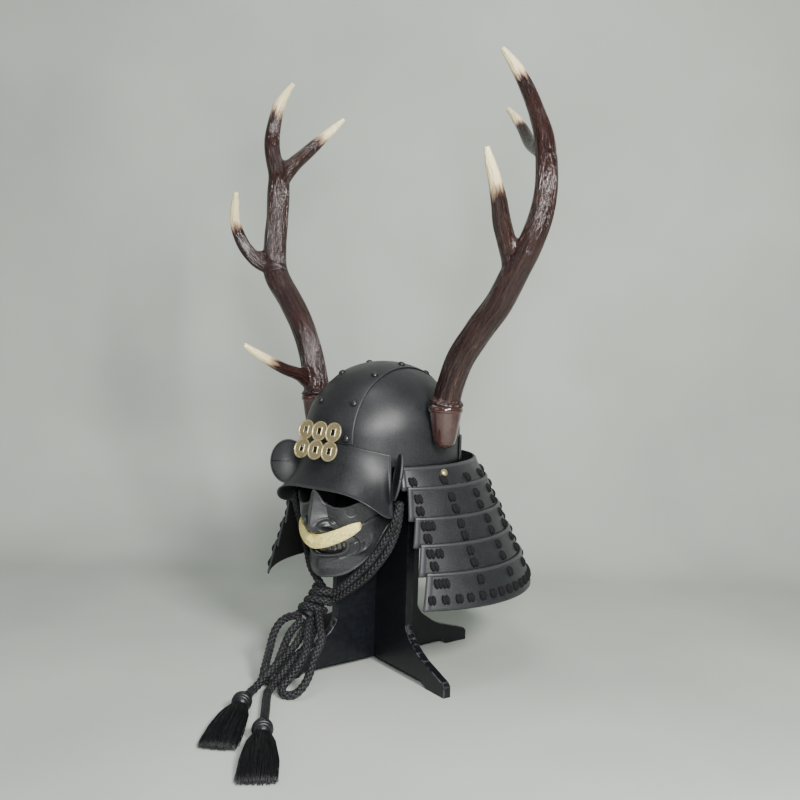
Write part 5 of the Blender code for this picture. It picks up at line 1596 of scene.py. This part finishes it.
build("cream_moustache", moustache_chunks, ["moustache"], hair)

# Stand: two crossed boards painted black, their edges lightened partly as rubbed wear and partly as a painted
# highlight, a rest for the bowl and a bracket for the mask.
LEG_REACH = 0.179
COLUMN_HALF_WIDTH = 0.085
FORE_COLUMN_HALF_WIDTH = 0.076
FOOT_HEIGHT = 0.020
SHOULDER_HEIGHT = 0.062
FOOT_LENGTH = 0.042
UNDER_GAP = 0.007
BOARD_THICKNESS = 0.012
STAND_TURN = math.radians(-18.5)
LONG_TURN = STAND_TURN + math.radians(94.0)
REST_SHARE = 0.80 * 0.985
REST_TOP = rest_high[2]
REST_THICKNESS = 0.012
COLUMN_TOP = REST_TOP - REST_THICKNESS - 0.0003
paint, tree, surface = shader_tree("black_stand_paint", 0.34, Specular_IOR_Level=0.30)
spot = add_node(tree, "ShaderNodeTexCoord").outputs["Object"]
edge = add_node(tree, "ShaderNodeAttribute", attribute_name="edge").outputs["Fac"]
chip = add_node(tree, "ShaderNodeTexNoise", {"Vector": spot, "Scale": 120.0, "Detail": 6.0, "Roughness": 0.7})
stretch = add_node(
    tree, "ShaderNodeMapping", {"Vector": spot, "Scale": (260.0, 260.0, 14.0), "Rotation": (0.2, 0.1, 0.0)},
)
scratch = add_node(
    tree, "ShaderNodeTexNoise", {"Vector": stretch.outputs["Vector"], "Scale": 1.0, "Detail": 3.0},
)
scratch_line = add_node(
    tree, "ShaderNodeMapRange", {"Value": scratch.outputs["Fac"], "From Min": 0.70, "From Max": 0.76},
)
# Edges and scratches are mixed towards a light grey. The scratches and part of the edge line are rubbed
# paint; the rest of the edge line is a painted highlight.
edge_wear_and_highlight = add_node(
    tree, "ShaderNodeMath", {0: edge, 1: 0.55, 2: chip.outputs["Fac"]}, operation="MULTIPLY_ADD",
)
edge_share = add_node(
    tree, "ShaderNodeMapRange", {"Value": edge_wear_and_highlight.outputs[0], "From Min": 0.98, "From Max": 1.14},
)
both = add_node(
    tree,
    "ShaderNodeMath",
    {0: scratch_line.outputs["Result"], 1: 0.25, 2: edge_share.outputs["Result"]},
    operation="MULTIPLY_ADD",
)
painted = colour_ramp(
    tree, chip.outputs["Fac"], [(0.3, (0.004, 0.0046, 0.0062)), (0.7, (0.009, 0.0102, 0.0135))],
)
worn_and_highlit_paint = add_node(
    tree,
    "ShaderNodeMix",
    {0: both.outputs[0], 6: painted, 7: (0.070, 0.072, 0.078, 1.0)},
    data_type="RGBA",
)
tree.links.new(worn_and_highlit_paint.outputs[2], surface.inputs["Base Color"])
gloss = add_node(tree, "ShaderNodeMapRange", {"Value": chip.outputs["Fac"], "To Min": 0.22, "To Max": 0.46})
tree.links.new(gloss.outputs["Result"], surface.inputs["Roughness"])
bump = add_node(tree, "ShaderNodeBump", {"Height": chip.outputs["Fac"], "Strength": 0.25, "Distance": 0.0006})
tree.links.new(bump.outputs["Normal"], surface.inputs["Normal"])


def sawn_prism(name, rings, nodes, bevel):
    """Prism between two outlines, its edges eased and marked for the lighter edge colour of rubbed wear and
    painted highlight.
    """
    size = len(rings[0])
    bm = bmesh.new()
    near = [bm.verts.new(spot + AXIS) for spot in rings[0]]
    far = [bm.verts.new(spot + AXIS) for spot in rings[1]]
    bm.faces.new(near)
    bm.faces.new(list(reversed(far)))
    for index in range(size):
        after = (index + 1) % size
        bm.faces.new([near[after], near[index], far[index], far[after]])
    bmesh.ops.recalc_face_normals(bm, faces=bm.faces)
    bmesh.ops.bevel(bm, geom=bm.edges[:], offset=bevel, segments=3, profile=0.5, affect="EDGES")
    edge_layer = bm.verts.layers.float.new("edge")
    big = [face for face in bm.faces if face.calc_area() > 4e-5]
    for vert in bm.verts:
        vert[edge_layer] = 1.0
    bmesh.ops.inset_individual(bm, faces=big, thickness=0.0012)
    for face in big:
        for vert in face.verts:
            vert[edge_layer] = 0.0
    mesh = bpy.data.meshes.new(name)
    bm.to_mesh(mesh)
    bm.free()
    mesh.materials.append(paint)
    mesh.polygons.foreach_set("use_smooth", np.ones(len(mesh.polygons), dtype=bool))
    mesh.set_sharp_from_angle(angle=math.radians(35.0))
    piece = bpy.data.objects.new(name, mesh)
    bpy.context.scene.collection.objects.link(piece)
    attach(piece, "root")
    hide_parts(*nodes)
    return piece


def board_rings(turn, column):
    half_outline = [
        (LEG_REACH - FOOT_LENGTH - 0.008, UNDER_GAP),
        (LEG_REACH - FOOT_LENGTH, 0.0),
        (LEG_REACH, 0.0),
        (LEG_REACH, FOOT_HEIGHT - 0.005),
        (LEG_REACH - 0.005, FOOT_HEIGHT),
        (column + 0.045, SHOULDER_HEIGHT - 0.026),
        (column + 0.030, SHOULDER_HEIGHT - 0.0185),
        (column + 0.018, SHOULDER_HEIGHT - 0.010),
        (column + 0.010, SHOULDER_HEIGHT - 0.0045),
        (column + 0.005, SHOULDER_HEIGHT + 0.002),
        (column + 0.0015, SHOULDER_HEIGHT + 0.007),
        (column, SHOULDER_HEIGHT + 0.012),
        (column, COLUMN_TOP),
    ]
    outline = half_outline + [(-x, z) for x, z in reversed(half_outline)]
    along = np.array([math.cos(turn), math.sin(turn), 0.0])
    across = np.array([-math.sin(turn), math.cos(turn), 0.0]) * BOARD_THICKNESS / 2.0
    return [[along * x + [0.0, 0.0, z] + across * way for x, z in outline] for way in (-1.0, 1.0)]


sawn_prism(
    "cross_board_panel",
    board_rings(STAND_TURN, COLUMN_HALF_WIDTH),
    ["cross_board"],
    0.0012,
)
sawn_prism(
    "long_board_panel",
    board_rings(LONG_TURN, FORE_COLUMN_HALF_WIDTH),
    ["long_board"],
    0.0012,
)
rest_rings = []
for z in (REST_TOP, REST_TOP - REST_THICKNESS):
    turns = 2.0 * math.pi * np.arange(72) / 72.0
    x = REST_SHARE * (BOWL_HALF_WIDTH - BOWL_WALL) * np.sin(turns)
    y = BOWL_BACK_SET - REST_SHARE * (BOWL_HALF_LENGTH - BOWL_WALL) * np.cos(turns)
    rest_rings.append(list(np.stack([x, y, np.full(72, z)], axis=1)))
sawn_prism("rest_disc", rest_rings, ["stand_rest"], 0.0010)
bracket_low, bracket_high = (np.array(corner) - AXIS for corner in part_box("mask_bracket"))
bracket_rings = []
for y in (bracket_low[1], bracket_high[1]):
    corners = ((0, 0), (1, 0), (1, 1), (0, 1))
    bracket_rings.append([
        np.array([
            (bracket_low[0], bracket_high[0])[right],
            y,
            (bracket_low[2], bracket_high[2])[top],
        ]) for right, top in corners
    ])
sawn_prism("mask_bracket_bar", bracket_rings, ["mask_bracket"], 0.0008)

# Floor and backdrop: one sheet of pale grey-green studio paper, flat under the stand and swept up behind it.
# The wall stands close behind, so it hides the helmet from a camera placed behind the helmet.
def stage_mesh(name, spots, faces, shader):
    mesh = bpy.data.meshes.new(name)
    mesh.from_pydata(spots, [], faces)
    mesh.materials.append(shader)
    mesh.polygons.foreach_set("use_smooth", np.ones(len(mesh.polygons), dtype=bool))
    piece = bpy.data.objects.new(name, mesh)
    bpy.context.scene.collection.objects.link(piece)
    return piece


paper, tree, surface = shader_tree("pale_studio_paper", 0.90)
spot = add_node(tree, "ShaderNodeTexCoord").outputs["Object"]
mottling = add_node(tree, "ShaderNodeTexNoise", {"Vector": spot, "Scale": 2.2, "Detail": 3.0})
tint = colour_ramp(tree, mottling.outputs["Fac"], [(0.3, (0.42, 0.455, 0.42)), (0.7, (0.53, 0.56, 0.52))])
tree.links.new(tint, surface.inputs["Base Color"])
WALL_DISTANCE = 0.80
WALL_HEIGHT = 3.0
WALL_HALF_WIDTH = 3.0
FLOOR_AHEAD = 2.2
SWEEP_RADIUS = 0.30
view_turn = math.radians(CAMERA_TURN[2])
view = np.array([-math.sin(view_turn), math.cos(view_turn), 0.0])
right = np.array([math.cos(view_turn), math.sin(view_turn), 0.0])
sweep_line = [(-FLOOR_AHEAD, 0.0), (WALL_DISTANCE - SWEEP_RADIUS, 0.0)]
sweep_line += [
    (WALL_DISTANCE - SWEEP_RADIUS + SWEEP_RADIUS * math.sin(a), SWEEP_RADIUS - SWEEP_RADIUS * math.cos(a))
    for a in np.linspace(0.0, math.pi / 2.0, 25)[1:]
]
sweep_line.append((WALL_DISTANCE, WALL_HEIGHT))
spots = [
    AXIS + view * far + right * wide + [0.0, 0.0, high]
    for far, high in sweep_line
    for wide in (-WALL_HALF_WIDTH, WALL_HALF_WIDTH)
]
faces = [[2 * n, 2 * n + 1, 2 * n + 3, 2 * n + 2] for n in range(len(sweep_line) - 1)]
floor_piece = stage_mesh("floor", [list(s) for s in spots[:4]], faces[:1], paper)
wall_piece = stage_mesh("backdrop", [list(s) for s in spots[2:]], faces[: len(sweep_line) - 2], paper)


def soft_light(name, spot, aim, size, power, tone):
    lamp = bpy.data.lights.new(name, "AREA")
    lamp.size = size
    lamp.energy = power
    lamp.color = tone
    holder = bpy.data.objects.new(name, lamp)
    holder.location = AXIS + np.array(spot)
    heading = Vector(aim) - Vector(spot)
    holder.rotation_euler = heading.to_track_quat("-Z", "Y").to_euler()
    bpy.context.scene.collection.objects.link(holder)


soft_light("key_light", (1.62, -0.82, 1.28), (0.0, 0.0, 0.42), 0.42, 54.0, (1.0, 0.98, 0.95))
soft_light("front_light", (1.08, -1.22, 0.72), (0.0, 0.0, 0.38), 0.26, 21.0, (1.0, 1.0, 1.0))
soft_light("fill_light", (-0.60, -1.70, 1.10), (0.0, 0.0, 0.35), 0.80, 3.0, (0.95, 0.97, 1.0))
soft_light("top_light", (0.25, -0.45, 1.95), (0.0, 0.0, 0.40), 0.60, 8.0, (1.0, 1.0, 1.0))
world = bpy.data.worlds.new("studio")
world.use_nodes = True
world.node_tree.nodes["Background"].inputs["Color"].default_value = (0.84, 0.87, 0.86, 1.0)
world.node_tree.nodes["Background"].inputs["Strength"].default_value = 0.13
bpy.context.scene.world = world
